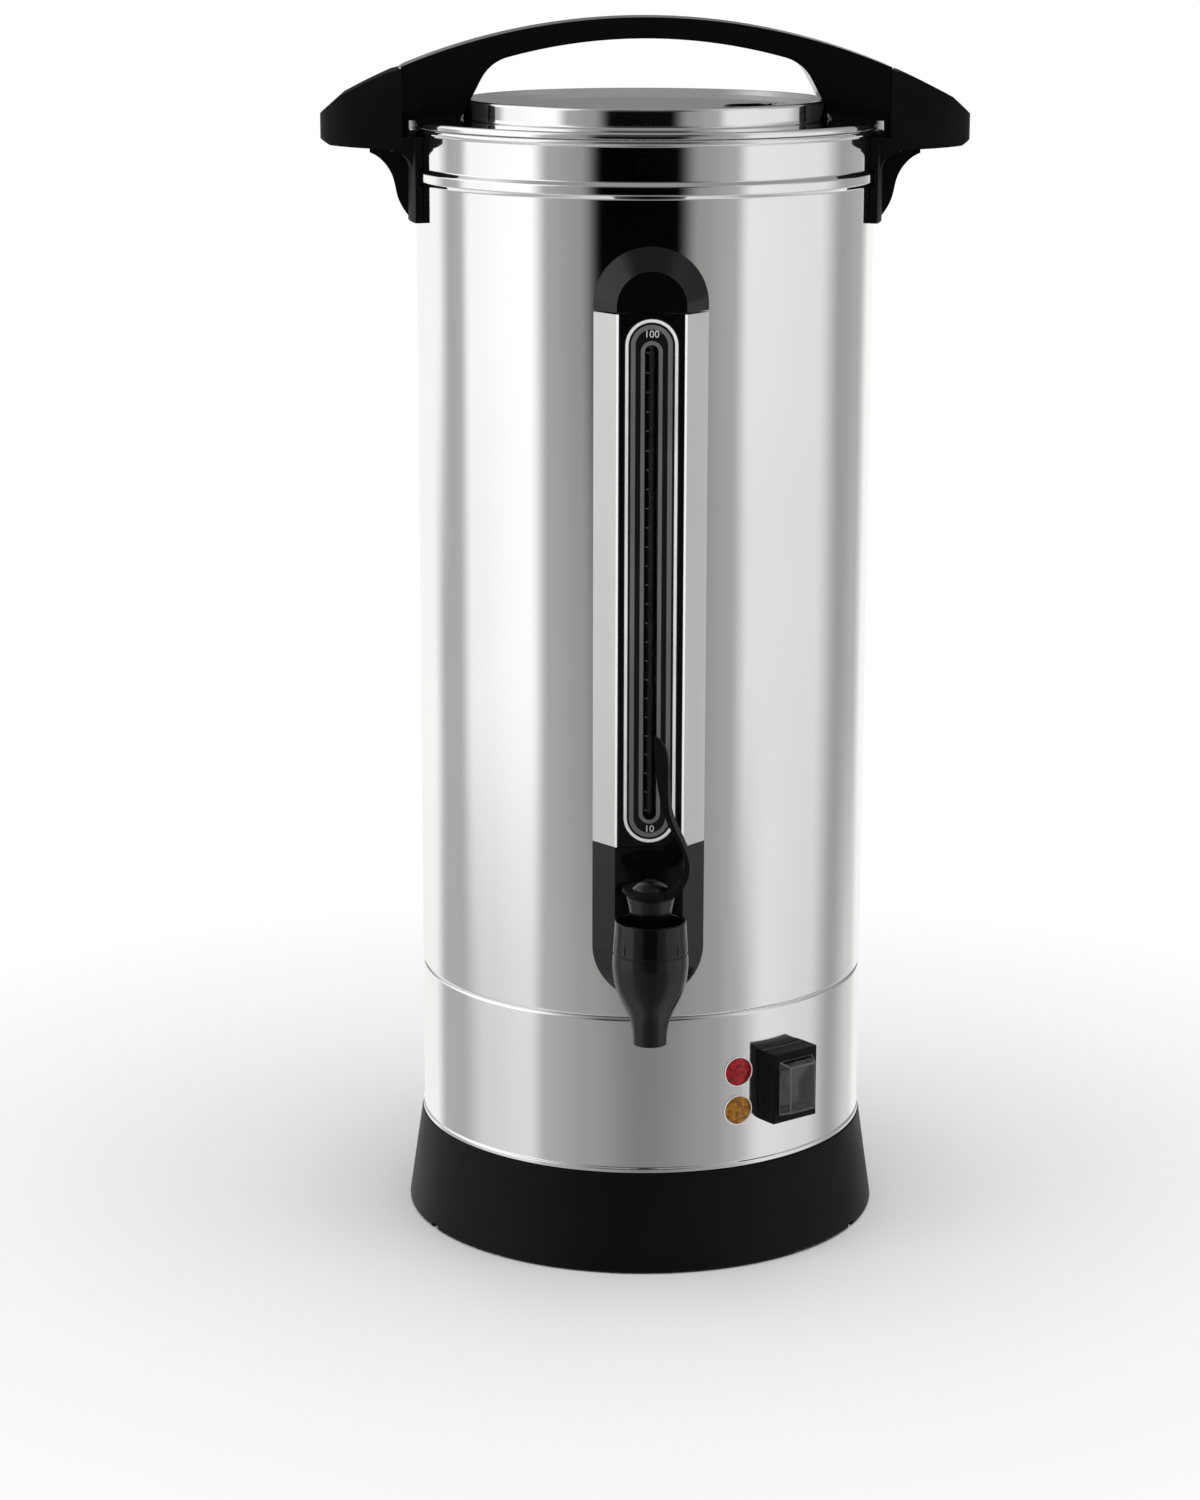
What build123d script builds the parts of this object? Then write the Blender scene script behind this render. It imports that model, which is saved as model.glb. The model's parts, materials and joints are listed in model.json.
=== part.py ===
"""Electric coffee urn: steel tank on a skirt and a flared base, with a lid, a level gauge and a tap.

The origin is on the floor, on the tank's axis. +Z is up, the tap points to -Y and +X is the side
of the switch. All lengths are in millimetres. Azimuths are in degrees, from the front towards +X.
"""

from build123d import *
import os
from math import cos, radians, sin, sqrt, tan

os.makedirs("parts", exist_ok=True)

# ---------------------------------------------------------------- stock and clearances

SHEET = 0.8  # steel sheet of the tank, skirt and lid
THIN_SHEET = 0.6  # sheet of the basket and its cover
WALL_GAP = 0.2  # between a moulding and the round wall that it seats on
RUNNING = 0.1  # all round a pin, stem or tube in its hole
SNUG = 0.05  # all round a piece that is clamped or pressed in its place
LOOSE = 0.3  # all round a part in a clearance hole
SCREW_R = 1.7
SCREW_CORE_R = 1.5  # screw that cuts its own thread in plastic
SCREW_HEAD_R = 3.4
SCREW_HEAD_H = 2.0
STUD_R = 2.0
NUT_FLATS = 7.0
NUT_T = 2.4
STUD_SHOW = 1.2  # thread that shows past a nut

# ---------------------------------------------------------------- tank, skirt and base

BODY_R = 110.0  # outside of the tank and skirt
BASE_H = 49.0  # top of the base, where the skirt stands
SKIRT_H = 78.0  # skirt, from the base to the seam
TANK_H = 414.1  # tank, from the seam to the top of its rolled rim
SEAM_ROUND = 1.6  # corners of the skirt and tank that make the seam's groove
FLANGE = 10.0  # width of the skirt's inward flanges
HEM_PROUD = 0.7  # rolled lower edge of the skirt
HEM_H = 2.0
RIM_R = 1.6  # half the height of the tank's rolled rim
RIM_OUT = 1.8  # how far the rim stands out of the tank
BEAD_DROP = 26.7  # from the tank's top to the lower side of its bead
BEAD_H = 7.6
BEAD_OUT = 1.8
WELL_R = 34.0  # well in the tank's floor, for the pump's foot
WELL_DEPTH = 12.0
SEAM_Z = BASE_H + SKIRT_H
TANK_TOP = SEAM_Z + TANK_H
WELL_Z = SEAM_Z - WELL_DEPTH
BEAD_Z = TANK_TOP - BEAD_DROP
WALL_IN = BODY_R - 15.0  # a cut through the wall runs from here
WALL_OUT = BODY_R + 15.0  # to here
ROOT_D = BODY_R - 6.0  # a moulding on the wall is drawn from here, before its seat is cut

BASE_LIP = 0.9  # how far the base's top stands out of the body
BASE_FLARE = 7.1  # how far its foot stands out of its top
BASE_WALL = 2.9
SHELF_T = 3.0
SHELF_W = 11.1  # width of the shelf that the skirt stands on, inside the wall
BOSS_R = 4.8
BOSS_INSET = 8.5  # from the body's outside to the middle of a boss
PLATE_Z = 7.0  # underside of the bottom plate
PLATE_T = 1.0
PLATE_MARGIN = 4.1  # round the bottom plate
FOOT_R = 9.0
FOOT_STEM_R = 3.0
FOOT_INSET = 24.0
NOTCH_W = 6.0
NOTCH_H = 2.5
NOTCH_AZIMUTHS = (62, 118, 242, 298)
STUD_INSET = 32.0
BASE_SCREW_H = 16.0
VENT_SLOT_L = 26.0
VENT_SLOT_W = 4.0
VENT_SLOT_R = 45.0
VENT_SLOT_COUNT = 12
STUD_AZIMUTHS = (0, 120, 240)
CORNER_AZIMUTHS = (45, 135, 225, 315)  # of the bosses and the feet
BASE_TOP_R = BODY_R + BASE_LIP
BASE_FOOT_R = BASE_TOP_R + BASE_FLARE
SHELF_IN_R = BODY_R - BASE_WALL - SHELF_W
BOSS_PLACE_R = BODY_R - BOSS_INSET
PLATE_R = BASE_FOOT_R - BASE_WALL - PLATE_MARGIN
FOOT_PLACE_R = BODY_R - FOOT_INSET
STUD_PLACE_R = BODY_R - STUD_INSET

# ---------------------------------------------------------------- lid and its handle

LID_LAP = 0.2  # from the rim's outside to the lid's edge
LID_GAP = 0.2  # from the rim's top to the lid's edge
LID_EDGE_H = 3.0
LID_FLANGE_W = 24.7
LID_WALL_H = 9.4  # raised wall above the flange
LID_RIM_W = 5.8  # from the raised wall to the dish
DISH_EDGE_DROP = 2.3  # from the wall's top to the dish's edge
DISH_DEPTH = 2.0  # from the dish's edge to its middle
VENT_X = 51.0
VENT_R = 13.4
VENT_DEPTH = 7.0
SEAL_W = 6.7
SEAL_PLAY = 0.5  # between the seal and the lid's hem
LID_EDGE_R = BODY_R + RIM_OUT + LID_LAP
LID_EDGE_Z = TANK_TOP + LID_GAP
FLANGE_Z = LID_EDGE_Z + LID_EDGE_H
LID_WALL_R = LID_EDGE_R - LID_FLANGE_W
LID_RIM_Z = FLANGE_Z + LID_WALL_H
DISH_R = LID_WALL_R - LID_RIM_W

ARCH_RISE = 47.7  # from the lid's flange to the arch's top
ARCH_T = 9.8  # thickness in the middle
ARCH_UNDER_DROP = 11.2  # of the arch's underside, from the middle to the legs
ARCH_WAIST = 18.0  # half depth in the middle
ARCH_END = 25.5  # half depth at the ears
ARCH_REACH = 8.2  # the arch ends on a cylinder this far outside the body, so the lid can turn
ARCH_SKIRT = 7.1  # how far the arch's end caps reach below the lid's flange
CAP_CLEAR = 3.0  # from the lid's edge to the inner side of an end cap
LEG_LEAN = 17.8  # how far a leg's inner side leans inwards
LEG_SEAT = 4.7  # from the lid's raised wall to a leg's inner side
LEG_FILLET = 20.0
LID_SCREW_INSET = 14.0
LID_SCREW_Y = 14.0
LID_SCREW_H = 12.0
BEVEL_H = 7.0  # bevel along the upper edges
BEVEL_D = 2.2
ARCH_APEX = FLANGE_Z + ARCH_RISE
ARCH_END_R = BODY_R + ARCH_REACH
ARCH_FOOT_Z = FLANGE_Z - ARCH_SKIRT
ARCH_CAP_R = LID_EDGE_R + CAP_CLEAR
LEG_FOOT_X = LID_WALL_R + LEG_SEAT
LEG_TOP_X = LEG_FOOT_X - LEG_LEAN
LID_SCREW_X = LID_EDGE_R - LID_SCREW_INSET

EAR_GAP = 0.6  # round the arch's ends
EAR_REACH = 45.5  # from the body to the ear's end
EAR_HALF = 26.0
EAR_ROUND = 22.0
EAR_NOSE = 10.3  # length of the slope at the ear's end
EAR_NOSE_RISE = 11.1  # top of that slope, above the lid's flange
EAR_NOSE_DROP = 8.9
EAR_UNDER_DROP = 7.0  # from the ear's shoulder to its underside at the wall
EAR_TIP_DROP = 1.6  # and at its end
EAR_CHIN = 5.0
EAR_CHIN_DROP = 4.3
EAR_BLEND = 9.0  # fillet between the ear and its mount plate
MOUNT_T = 4.0
MOUNT_DROP = 44.5  # from the tank's top to the lower edge of the mount plate
MOUNT_WRAP = 16.3  # half angle of the mount plate
WEB_HALF = 5.5
EAR_END_X = BODY_R + EAR_REACH
NOSE_X = EAR_END_X - EAR_NOSE
NOSE_Z = FLANGE_Z + EAR_NOSE_RISE
EAR_SHOULDER_Z = ARCH_FOOT_Z - EAR_GAP
EAR_UNDER_Z = EAR_SHOULDER_Z - EAR_UNDER_DROP
MOUNT_OUT_R = BODY_R + MOUNT_T
MOUNT_LOW_Z = TANK_TOP - MOUNT_DROP
STOCK_H = ARCH_APEX - MOUNT_LOW_Z + 20.0  # taller than an ear and the arch together
EAR_SCREW_HEIGHTS = (MOUNT_LOW_Z + 6.4, EAR_SHOULDER_Z - 8.6)
TANK_SCREW_TIP = BODY_R + 5.0
TIP_ROOM = 0.5  # in front of a screw's tip

# ---------------------------------------------------------------- level gauge column

COLUMN_PROUD = 9.5  # of the front face
FRONT_HALF = 16.0
BODY_HALF = 26.6  # half width where the facets meet the tank
COVER_LIFT = 87.0  # from the seam to the steel cover
COVER_DROP = 77.5  # from the tank's top to the steel cover
CAP_GAP = 0.8
CAP_RISE = 3.4  # from the cover to the centre of the cap's round end
BLOCK_LIFT = 36.0  # from the seam to the centre of the block's round end
COVER_T = 1.0
PANEL_T = 1.1
PANEL_HALF = 15.0
PANEL_GAP = 0.1
WEB_T = 0.8
BEZEL_HALF = 12.05
BEZEL_W = 1.45
BEZEL_PROUD = 0.5
BEZEL_LIFT = 2.4  # from the cover's lower end to the bezel
BEZEL_DROP = 2.1  # from its upper end
SLOT_HALF = 3.2
SLOT_LIFT = 10.9  # from the bezel's lower end to the slot
SLOT_DROP = 11.7
SCALE_RECESS = 0.2
TROUGH_WALL = 0.7  # of the trough behind the slot, which the glass tube stands in
TUBE_R = 2.9
TUBE_WALL = 0.7
TUBE_SOCKET = 12.0  # how deep the tube stands in the block
TUBE_TOP_SOCKET = 10.4  # and in the cap
SEAL_T = 0.8
SEAL_H = 6.0
GAUGE_SCREW_X = 11.0
COLUMN_FRONT = BODY_R + COLUMN_PROUD
COVER_LOW_Z = SEAM_Z + COVER_LIFT
COVER_HIGH_Z = TANK_TOP - COVER_DROP
COVER_H = COVER_HIGH_Z - COVER_LOW_Z
CAP_END_Z = COVER_HIGH_Z + CAP_RISE
BLOCK_END_Z = SEAM_Z + BLOCK_LIFT
BEZEL_LOW_Z = COVER_LOW_Z + BEZEL_LIFT
BEZEL_HIGH_Z = COVER_HIGH_Z - BEZEL_DROP
SLOT_LOW_Z = BEZEL_LOW_Z + SLOT_LIFT
SLOT_HIGH_Z = BEZEL_HIGH_Z - SLOT_DROP
TUBE_LOW_Z = COVER_LOW_Z - TUBE_SOCKET
TUBE_HIGH_Z = COVER_HIGH_Z + TUBE_TOP_SOCKET
TUBE_D = COLUMN_FRONT - PANEL_T - WEB_T - WALL_GAP - TUBE_R
GAUGE_SCREW_HEIGHTS = (COVER_LOW_Z - 24.0, CAP_END_Z + 4.0)

# ---------------------------------------------------------------- tap

TAP_REACH = 26.5  # from the column's front to the tap's axis
SHANK_LIFT = 35.5  # from the seam to the shank's middle
SHANK_R = 8.0
SHANK_BORE = 5.0
SHANK_TAIL = 14.0  # how far the shank stands into the tank
SHOULDER_R = 9.0
SPOUT_DROP = 35.9  # from the shank's middle to the spout's end
SPOUT_R = 7.9
BULB_R = 17.5
COLLAR_LIFT = 9.1
COLLAR_H = 14.7
COLLAR_R = 17.5
COLLAR_TOP_R = 16.6
COLLAR_LIP = 2.2
RIB_COUNT = 12
CHAMBER_R = 15.2
SEAT_DROP = 15.5
OUTLET_R = 5.5
PLUG_R = 8.2
PLUG_H = 9.0
STEM_R = 1.5
STEM_FLANGE_R = 4.0
STEM_FLANGE_T = 1.2
SPRING_R = 3.2
SPRING_WIRE_R = 0.55
SPRING_TURNS = 4
BONNET_FLANGE_R = 14.5
BONNET_FLANGE_T = 2.0
NECK_CORE_R = 8.6
NECK_LOW_R = 9.25
NECK_TOP_R = 11.3
NECK_H = 10.0  # cone above the collar
NECK_SHOW = 1.7  # from the collar's top to the cone
WASHER_T = 1.2
WASHER_GAP = 0.5  # between the washer and the lever's disc
DISC_R = 13.35
DISC_T = 2.0
DOME_R = 8.4
DOME_H = 4.2
DOME_WALL = 0.9
HOLLOW_R = 6.4
LEVER_TURN = -8.0  # the lever's plane, about Z from +X
LEVER_H = 74.3  # from the disc's underside to the blade's tip
LEVER_ROOT_HALF = 11.5
KNEE_HALF = 4.5
LEAF_HALF = 5.6
BLADE_HEEL = 8.0  # where the blade's inner face meets the disc
BALL_R = 1.9  # head of the stem
BALL_NECK_R = 1.0
BALL_SLOT_HALF = 1.3
BALL_SLOT_RUN = 2.4
BALL_POCKET_R = 5.0
BALL_POCKET = 0.8
GASKET_R = 12.0
NUT_FRONT = 3.5  # from the body's outside to the clamp nut, inwards
CLAMP_NUT_FLATS = 22.0
CLAMP_NUT_T = 5.0
TAP_Y = -(COLUMN_FRONT + TAP_REACH)
SHANK_Z = SEAM_Z + SHANK_LIFT
SHANK_END_D = BODY_R - SHANK_TAIL
SPOUT_Z = SHANK_Z - SPOUT_DROP
COLLAR_LOW_Z = SHANK_Z + COLLAR_LIFT
COLLAR_TOP_Z = COLLAR_LOW_Z + COLLAR_H
SEAT_Z = SHANK_Z - SEAT_DROP
PLUG_TOP_Z = SEAT_Z + PLUG_H
NECK_LOW_Z = COLLAR_TOP_Z + NECK_SHOW
NECK_TOP_Z = NECK_LOW_Z + NECK_H
DISC_Z = NECK_TOP_Z + WASHER_T + WASHER_GAP
DISC_TOP_Z = DISC_Z + DISC_T
BALL_Z = DISC_TOP_Z - BALL_POCKET + sqrt(BALL_R**2 - BALL_SLOT_HALF**2) + RUNNING
NUT_FRONT_D = BODY_R - NUT_FRONT

# ---------------------------------------------------------------- percolator

PUMP_R = 5.0
PUMP_WALL = 0.8
PUMP_DROP = 21.1  # from the tank's top to the pump's top
PUMP_FOOT_R = 29.0
PUMP_COLLAR_R = 9.0
PUMP_COLLAR_T = 2.0
BASKET_R = 62.0
BASKET_H = 74.0
BASKET_DROP = 95.0  # from the pump's top to the basket's floor
BASKET_RIM = 2.5
SLEEVE_WALL = 1.2
BASKET_SIEVE = ((0.29, 10), (0.52, 18), (0.74, 26))  # rings of holes: share of BASKET_R, and count
BASKET_HOLE_R = 1.5
COVER_HEM = 3.0
COVER_COLLAR_H = 8.0
COVER_SIEVE = ((0.39, 12), (0.68, 20))
COVER_HOLE_R = 1.2
PUMP_TOP_Z = TANK_TOP - PUMP_DROP
BASKET_Z = PUMP_TOP_Z - BASKET_DROP
BASKET_TOP_Z = BASKET_Z + BASKET_H
BASKET_FLOOR_Z = BASKET_Z + THIN_SHEET
SLEEVE_IN_R = PUMP_R + LOOSE

# ---------------------------------------------------------------- switch, lamps and inlet, on the skirt

SWITCH_LIFT = 40.3  # from the base's top to the switch's middle
SWITCH_AZIMUTH = 36.4
SWITCH_HALF_W = 13.5
SWITCH_HALF_H = 17.5
SWITCH_PROUD = 11.3  # of the block's front
SWITCH_BEVEL = 0.5
ROCKER_HALF_W = 8.0
ROCKER_HALF_H = 10.0
ROCKER_TILT = 12.0
PIVOT_DEPTH = 8.3  # from the block's front to the rocker's axle
PIVOT_R = 1.5
PIVOT_L = 1.1
CASE_WALL = 1.7
CASE_RIM = 3.0
CASE_RECESS = 1.8  # from the block's front to the case's
CASE_TAIL = 18.0  # from the body's outside to the case's back
TERMINAL_X = 5.0
TERMINAL_Y = 6.0
TAIL = 26.0  # from the body's outside to the ends of the terminals and pins
COVER_PROUD = 6.0
COVER_WALL = 0.6
COVER_DRAFT_X = 2.45
COVER_DRAFT_Y = 2.0
LAMP_AZIMUTH = 23.6
LAMP_R = 6.9
LAMP_BODY_R = 5.8
LAMP_BEZEL_W = 0.6
LAMP_PROUD = 0.5
LAMP_RISE = 0.9  # of the lens's dome
LAMP_NUT_FLATS = 15.0
LAMP_NUT_T = 3.0
LAMP_HEIGHTS = {"lamp_red_lens": BASE_H + 48.2, "lamp_amber_lens": BASE_H + 28.8}
INLET_AZIMUTH = 180.0
INLET_LIFT = 36.0
INLET_PROUD = 5.0
INLET_HALF_W = 25.5
INLET_HALF_H = 13.0
INLET_BODY_W = 13.8
INLET_BODY_H = 9.8
SOCKET_W = 24.2
SOCKET_H = 16.4
SOCKET_DEPTH = 18.0
PIN_X = 7.0
PIN_HALF_W = 1.0
PIN_HALF_H = 2.0
INLET_SCREW_X = 20.0
SWITCH_Z = BASE_H + SWITCH_LIFT
SWITCH_FRONT = BODY_R + SWITCH_PROUD
PIVOT_D = SWITCH_FRONT - PIVOT_DEPTH
CASE_HALF_W = ROCKER_HALF_W + CASE_WALL
CASE_HALF_H = ROCKER_HALF_H + CASE_RIM
CASE_FRONT = SWITCH_FRONT - CASE_RECESS
CASE_BACK = BODY_R - CASE_TAIL
TAIL_D = BODY_R - TAIL
TERMINALS = ((-TERMINAL_X, TERMINAL_Y), (TERMINAL_X, -TERMINAL_Y))
LAMP_SEAT_D = BODY_R + RUNNING
INLET_Z = BASE_H + INLET_LIFT
INLET_FRONT = BODY_R + INLET_PROUD
INLET_FLOOR = INLET_FRONT - SOCKET_DEPTH

# ---------------------------------------------------------------- heaters, controls and leads

HEATER_R = 31.5
HEATER_T = 3.0
ELEMENT_RING_R = 24.0
ELEMENT_R = 3.5
ELEMENT_GAP = 20.0  # half angle between the element's legs
ELEMENT_LEG = 18.0
ELEMENT_PIN = 6.0
CLAMP_T = 2.0
CLAMP_W = 12.0
BAND_T = 2.6
TAB_Y = 3.2
TAB_DROP = 4.0
CONTROL_PLACE_R = 0.545 * BODY_R
CONTROL_R = 8.5
CONTROL_H = 8.0
CONTROL_CAP_T = 1.2
BLADE_X = 3.2
BLADE_H = 9.0
LEAD_R = 1.3
LEAD_BEND = 8.0
LEAD_STEP = 6.0  # between the levels at which the leads run
LEAD_DROP = 7.0  # from the base's top to the lowest lead
ELEMENT_Z = WELL_Z - HEATER_T - ELEMENT_R - SNUG
CLAMP_Z = ELEMENT_Z - ELEMENT_R - SNUG - CLAMP_T
BAND_IN_R = WELL_R + WALL_GAP
LEG_X = ELEMENT_RING_R * sin(radians(ELEMENT_GAP))
LEG_Y = -ELEMENT_RING_R * cos(radians(ELEMENT_GAP))
LEG_END_Z = ELEMENT_Z - ELEMENT_LEG - ELEMENT_PIN


# ---------------------------------------------------------------- helpers


def outline(corners):
    """Closed face from corners (u, v) or (u, v, rounding)."""
    points = [(c[0], c[1]) for c in corners]
    rounds = [c[2] if len(c) > 2 else 0 for c in corners]
    return make_face(FilletPolyline(*points, radius=rounds, close=True))


def turned(corners):
    """Solid of revolution about Z from corners (radius, height) or (radius, height, rounding)."""
    return revolve(Plane.XZ * outline(corners), Axis.Z)


def disc(radius, low, high):
    """Cylinder about Z between two heights."""
    return Pos(0, 0, low) * extrude(Circle(radius), high - low)


def ring(inner, outer, low, high):
    """Tube about Z between two heights."""
    return disc(outer, low, high) - disc(inner, low, high)


def wall_plane(azimuth, height=0.0):
    """Plane through the axis that faces outwards: x to the right, y up, z the distance from the axis."""
    angle = radians(azimuth)
    return Plane(
        origin=(0, 0, height),
        x_dir=(cos(angle), sin(angle), 0),
        z_dir=(sin(angle), -cos(angle), 0),
    )


def block(plane, half_w, half_h, low, high, middle=(0, 0)):
    """Box on a wall plane, between two distances from the axis."""
    face = Pos(*middle) * Rectangle(2 * half_w, 2 * half_h)
    return plane * Pos(0, 0, low) * extrude(face, high - low)


def peg(plane, radius, low, high, middle=(0, 0)):
    """Round bar on a wall plane, between two distances from the axis."""
    return plane * Pos(middle[0], middle[1], low) * extrude(Circle(radius), high - low)


def hexagon(across_flats, hole_r, thickness):
    """Nut with its seat at z 0."""
    return extrude(RegularPolygon(across_flats / sqrt(3), 6) - Circle(hole_r), thickness)


def around(azimuth, radius, height=0.0):
    """Place at a distance from the axis, turned with its azimuth."""
    angle = radians(azimuth)
    return Pos(radius * sin(angle), -radius * cos(angle), height) * Rot(0, 0, azimuth)


def body_room():
    """What a moulding on the wall leaves free for the round body."""
    return disc(BODY_R + WALL_GAP, 0, 2 * TANK_TOP)


def group(pieces):
    """Separate solids that share one node."""
    return Compound(children=[solid for piece in pieces for solid in piece.solids()])


NODES = {}


def keep(name, part):
    """Register one node."""
    NODES[name] = part
    return part


# ---------------------------------------------------------------- tank and skirt


def tank_solid(inset):
    """The tank filled in, with its walls moved inwards by inset."""
    wall = BODY_R - inset
    well = WELL_R - inset
    floor = SEAM_Z + inset
    high = BEAD_Z + BEAD_H
    return turned([
        (0, WELL_Z + inset),
        (well, WELL_Z + inset, 2.0),
        (well, floor, 0.6),
        (wall, floor, SEAM_ROUND - inset / 2),
        (wall, BEAD_Z, 1.0),
        (wall + BEAD_OUT, BEAD_Z + BEAD_OUT, 1.0),
        (wall + BEAD_OUT, high - BEAD_OUT, 1.0),
        (wall, high, 1.0),
        (wall, TANK_TOP - RIM_R),
        (0, TANK_TOP - RIM_R),
    ])


def make_tank():
    roll_r = BODY_R + RIM_OUT - RIM_R
    roll = Pos(0, 0, TANK_TOP - RIM_R) * Torus(roll_r, RIM_R)
    tank = tank_solid(0) - tank_solid(SHEET) + roll
    tank -= peg(wall_plane(0, SHANK_Z), SHANK_R + LOOSE, WALL_IN, WALL_OUT)
    for plane, middle in ear_screw_places() + gauge_screw_places():
        tank -= peg(plane, SCREW_R + LOOSE, WALL_IN, WALL_OUT, middle)
    return tank


def make_skirt():
    inner = BODY_R - FLANGE
    shell = turned([
        (inner, BASE_H),
        (BODY_R + HEM_PROUD, BASE_H, 0.6),
        (BODY_R + HEM_PROUD, BASE_H + HEM_H, 0.6),
        (BODY_R, BASE_H + HEM_H + HEM_PROUD, 0.6),
        (BODY_R, SEAM_Z, SEAM_ROUND),
        (inner, SEAM_Z),
    ])
    shell -= disc(BODY_R - SHEET, BASE_H + SHEET, SEAM_Z - SHEET)
    switch = wall_plane(SWITCH_AZIMUTH, SWITCH_Z)
    shell -= block(switch, CASE_HALF_W + LOOSE, CASE_HALF_H + LOOSE, WALL_IN, WALL_OUT)
    inlet = wall_plane(INLET_AZIMUTH, INLET_Z)
    shell -= block(inlet, INLET_BODY_W + LOOSE, INLET_BODY_H + LOOSE, WALL_IN, WALL_OUT)
    for side in (-1, 1):
        shell -= peg(inlet, SCREW_R + LOOSE, WALL_IN, WALL_OUT, (side * INLET_SCREW_X, 0))
    for name in LAMP_HEIGHTS:
        shell -= peg(lamp_plane(name), LAMP_BODY_R + LOOSE, WALL_IN, WALL_OUT)
    return shell


# ---------------------------------------------------------------- base


def make_base():
    low_in = BASE_FOOT_R - BASE_WALL
    shelf_z = BASE_H - SHELF_T
    base = turned([
        (SHELF_IN_R, shelf_z),
        (BASE_TOP_R - BASE_WALL, shelf_z, 2.0),
        (low_in, 0),
        (BASE_FOOT_R, 0, 1.5),
        (BASE_TOP_R, BASE_H, 1.0),
        (SHELF_IN_R, BASE_H),
    ])
    boss = disc(BOSS_R, PLATE_Z + PLATE_T, BASE_H - SHELF_T / 2)
    hole = disc(SCREW_CORE_R + RUNNING, 0, PLATE_Z + BASE_SCREW_H + TIP_ROOM)
    for azimuth in CORNER_AZIMUTHS:
        base += around(azimuth, BOSS_PLACE_R) * boss
        base -= around(azimuth, BOSS_PLACE_R) * hole
    for azimuth in NOTCH_AZIMUTHS:
        base -= block(wall_plane(azimuth), NOTCH_W / 2, NOTCH_H, WALL_IN, WALL_OUT)
    return base


def make_bottom_plate():
    plate = disc(PLATE_R, PLATE_Z, PLATE_Z + PLATE_T)
    for azimuth in CORNER_AZIMUTHS:
        plate -= around(azimuth, BOSS_PLACE_R) * disc(SCREW_R, 0, BASE_H)
    for place in foot_places():
        plate -= place * disc(FOOT_STEM_R + RUNNING, 0, BASE_H)
    for azimuth in STUD_AZIMUTHS:
        plate -= around(azimuth, STUD_PLACE_R) * disc(STUD_R + LOOSE, 0, BASE_H)
    slot = extrude(SlotOverall(VENT_SLOT_L, VENT_SLOT_W), BASE_H)
    for i in range(VENT_SLOT_COUNT):
        plate -= around(360 / VENT_SLOT_COUNT * (i + 0.5), VENT_SLOT_R) * Rot(0, 0, 90) * slot
    return plate


def foot_places():
    """Four feet under the corners and one under the middle, where the thin plate would sag."""
    return [around(azimuth, FOOT_PLACE_R) for azimuth in CORNER_AZIMUTHS] + [Pos(0, 0)]


def foot():
    """Rubber foot with a barbed stem that holds in the bottom plate."""
    top = PLATE_Z + PLATE_T
    return turned([
        (0, 0),
        (FOOT_R, 0, 0.8),
        (FOOT_R + 0.8, PLATE_Z, 0.5),
        (FOOT_STEM_R, PLATE_Z),
        (FOOT_STEM_R, top),
        (FOOT_STEM_R + 1.0, top),
        (FOOT_STEM_R - 1.0, top + 3.0),
        (0, top + 3.0),
    ])


def base_screws():
    """Screws that hold the bottom plate up in the base's bosses."""
    screw = disc(SCREW_CORE_R, PLATE_Z, PLATE_Z + BASE_SCREW_H)
    screw += disc(SCREW_HEAD_R, PLATE_Z - SCREW_HEAD_H, PLATE_Z)
    return [around(a, BOSS_PLACE_R) * screw for a in CORNER_AZIMUTHS]


def make_studs():
    """Long studs that tie the tank to the bottom plate, and the heater's short one."""
    long_stud = disc(STUD_R, PLATE_Z - NUT_T - STUD_SHOW, SEAM_Z)
    studs = [around(a, STUD_PLACE_R) * long_stud for a in STUD_AZIMUTHS]
    studs.append(disc(STUD_R, CLAMP_Z - NUT_T - STUD_SHOW, WELL_Z))
    return group(studs)


def make_nuts():
    nut = hexagon(NUT_FLATS, STUD_R + SNUG, NUT_T)
    nuts = [around(a, STUD_PLACE_R, PLATE_Z - NUT_T) * nut for a in STUD_AZIMUTHS]
    nuts.append(Pos(0, 0, CLAMP_Z - NUT_T) * nut)
    return group(nuts)


# ---------------------------------------------------------------- heaters, controls and leads


def make_heater_plate():
    return ring(STUD_R + LOOSE, HEATER_R, WELL_Z - HEATER_T, WELL_Z)


def make_element():
    """Sheathed element: an open ring under the heater plate, with two legs down."""
    section = Plane.XZ * Pos(ELEMENT_RING_R, ELEMENT_Z) * Circle(ELEMENT_R)
    element = Rot(0, 0, ELEMENT_GAP - 90) * revolve(section, Axis.Z, 360 - 2 * ELEMENT_GAP)
    for x in (-LEG_X, LEG_X):
        element += Pos(x, LEG_Y, ELEMENT_Z) * Sphere(ELEMENT_R)
        element += Pos(x, LEG_Y) * disc(ELEMENT_R, ELEMENT_Z - ELEMENT_LEG, ELEMENT_Z)
        element += Pos(x, LEG_Y) * disc(LEAD_R, LEG_END_Z, ELEMENT_Z)
    return element


def make_clamp():
    length = 2 * ELEMENT_RING_R + CLAMP_W
    bar = Pos(0, 0, CLAMP_Z) * extrude(SlotOverall(length, CLAMP_W), CLAMP_T)
    return bar - disc(STUD_R + LOOSE, 0, WELL_Z)


def make_keep_warm_heater():
    """Mica band round the well, with two tabs."""
    band = ring(BAND_IN_R, BAND_IN_R + BAND_T, WELL_Z + BAND_T, SEAM_Z - BAND_T / 2)
    for y in (-TAB_Y, TAB_Y):
        tab = extrude(Rectangle(1.0, 3.0), TAB_DROP + 2 * BAND_T)
        band += Pos(-BAND_IN_R - BAND_T / 2, y, WELL_Z - TAB_DROP) * tab
    return band


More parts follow.
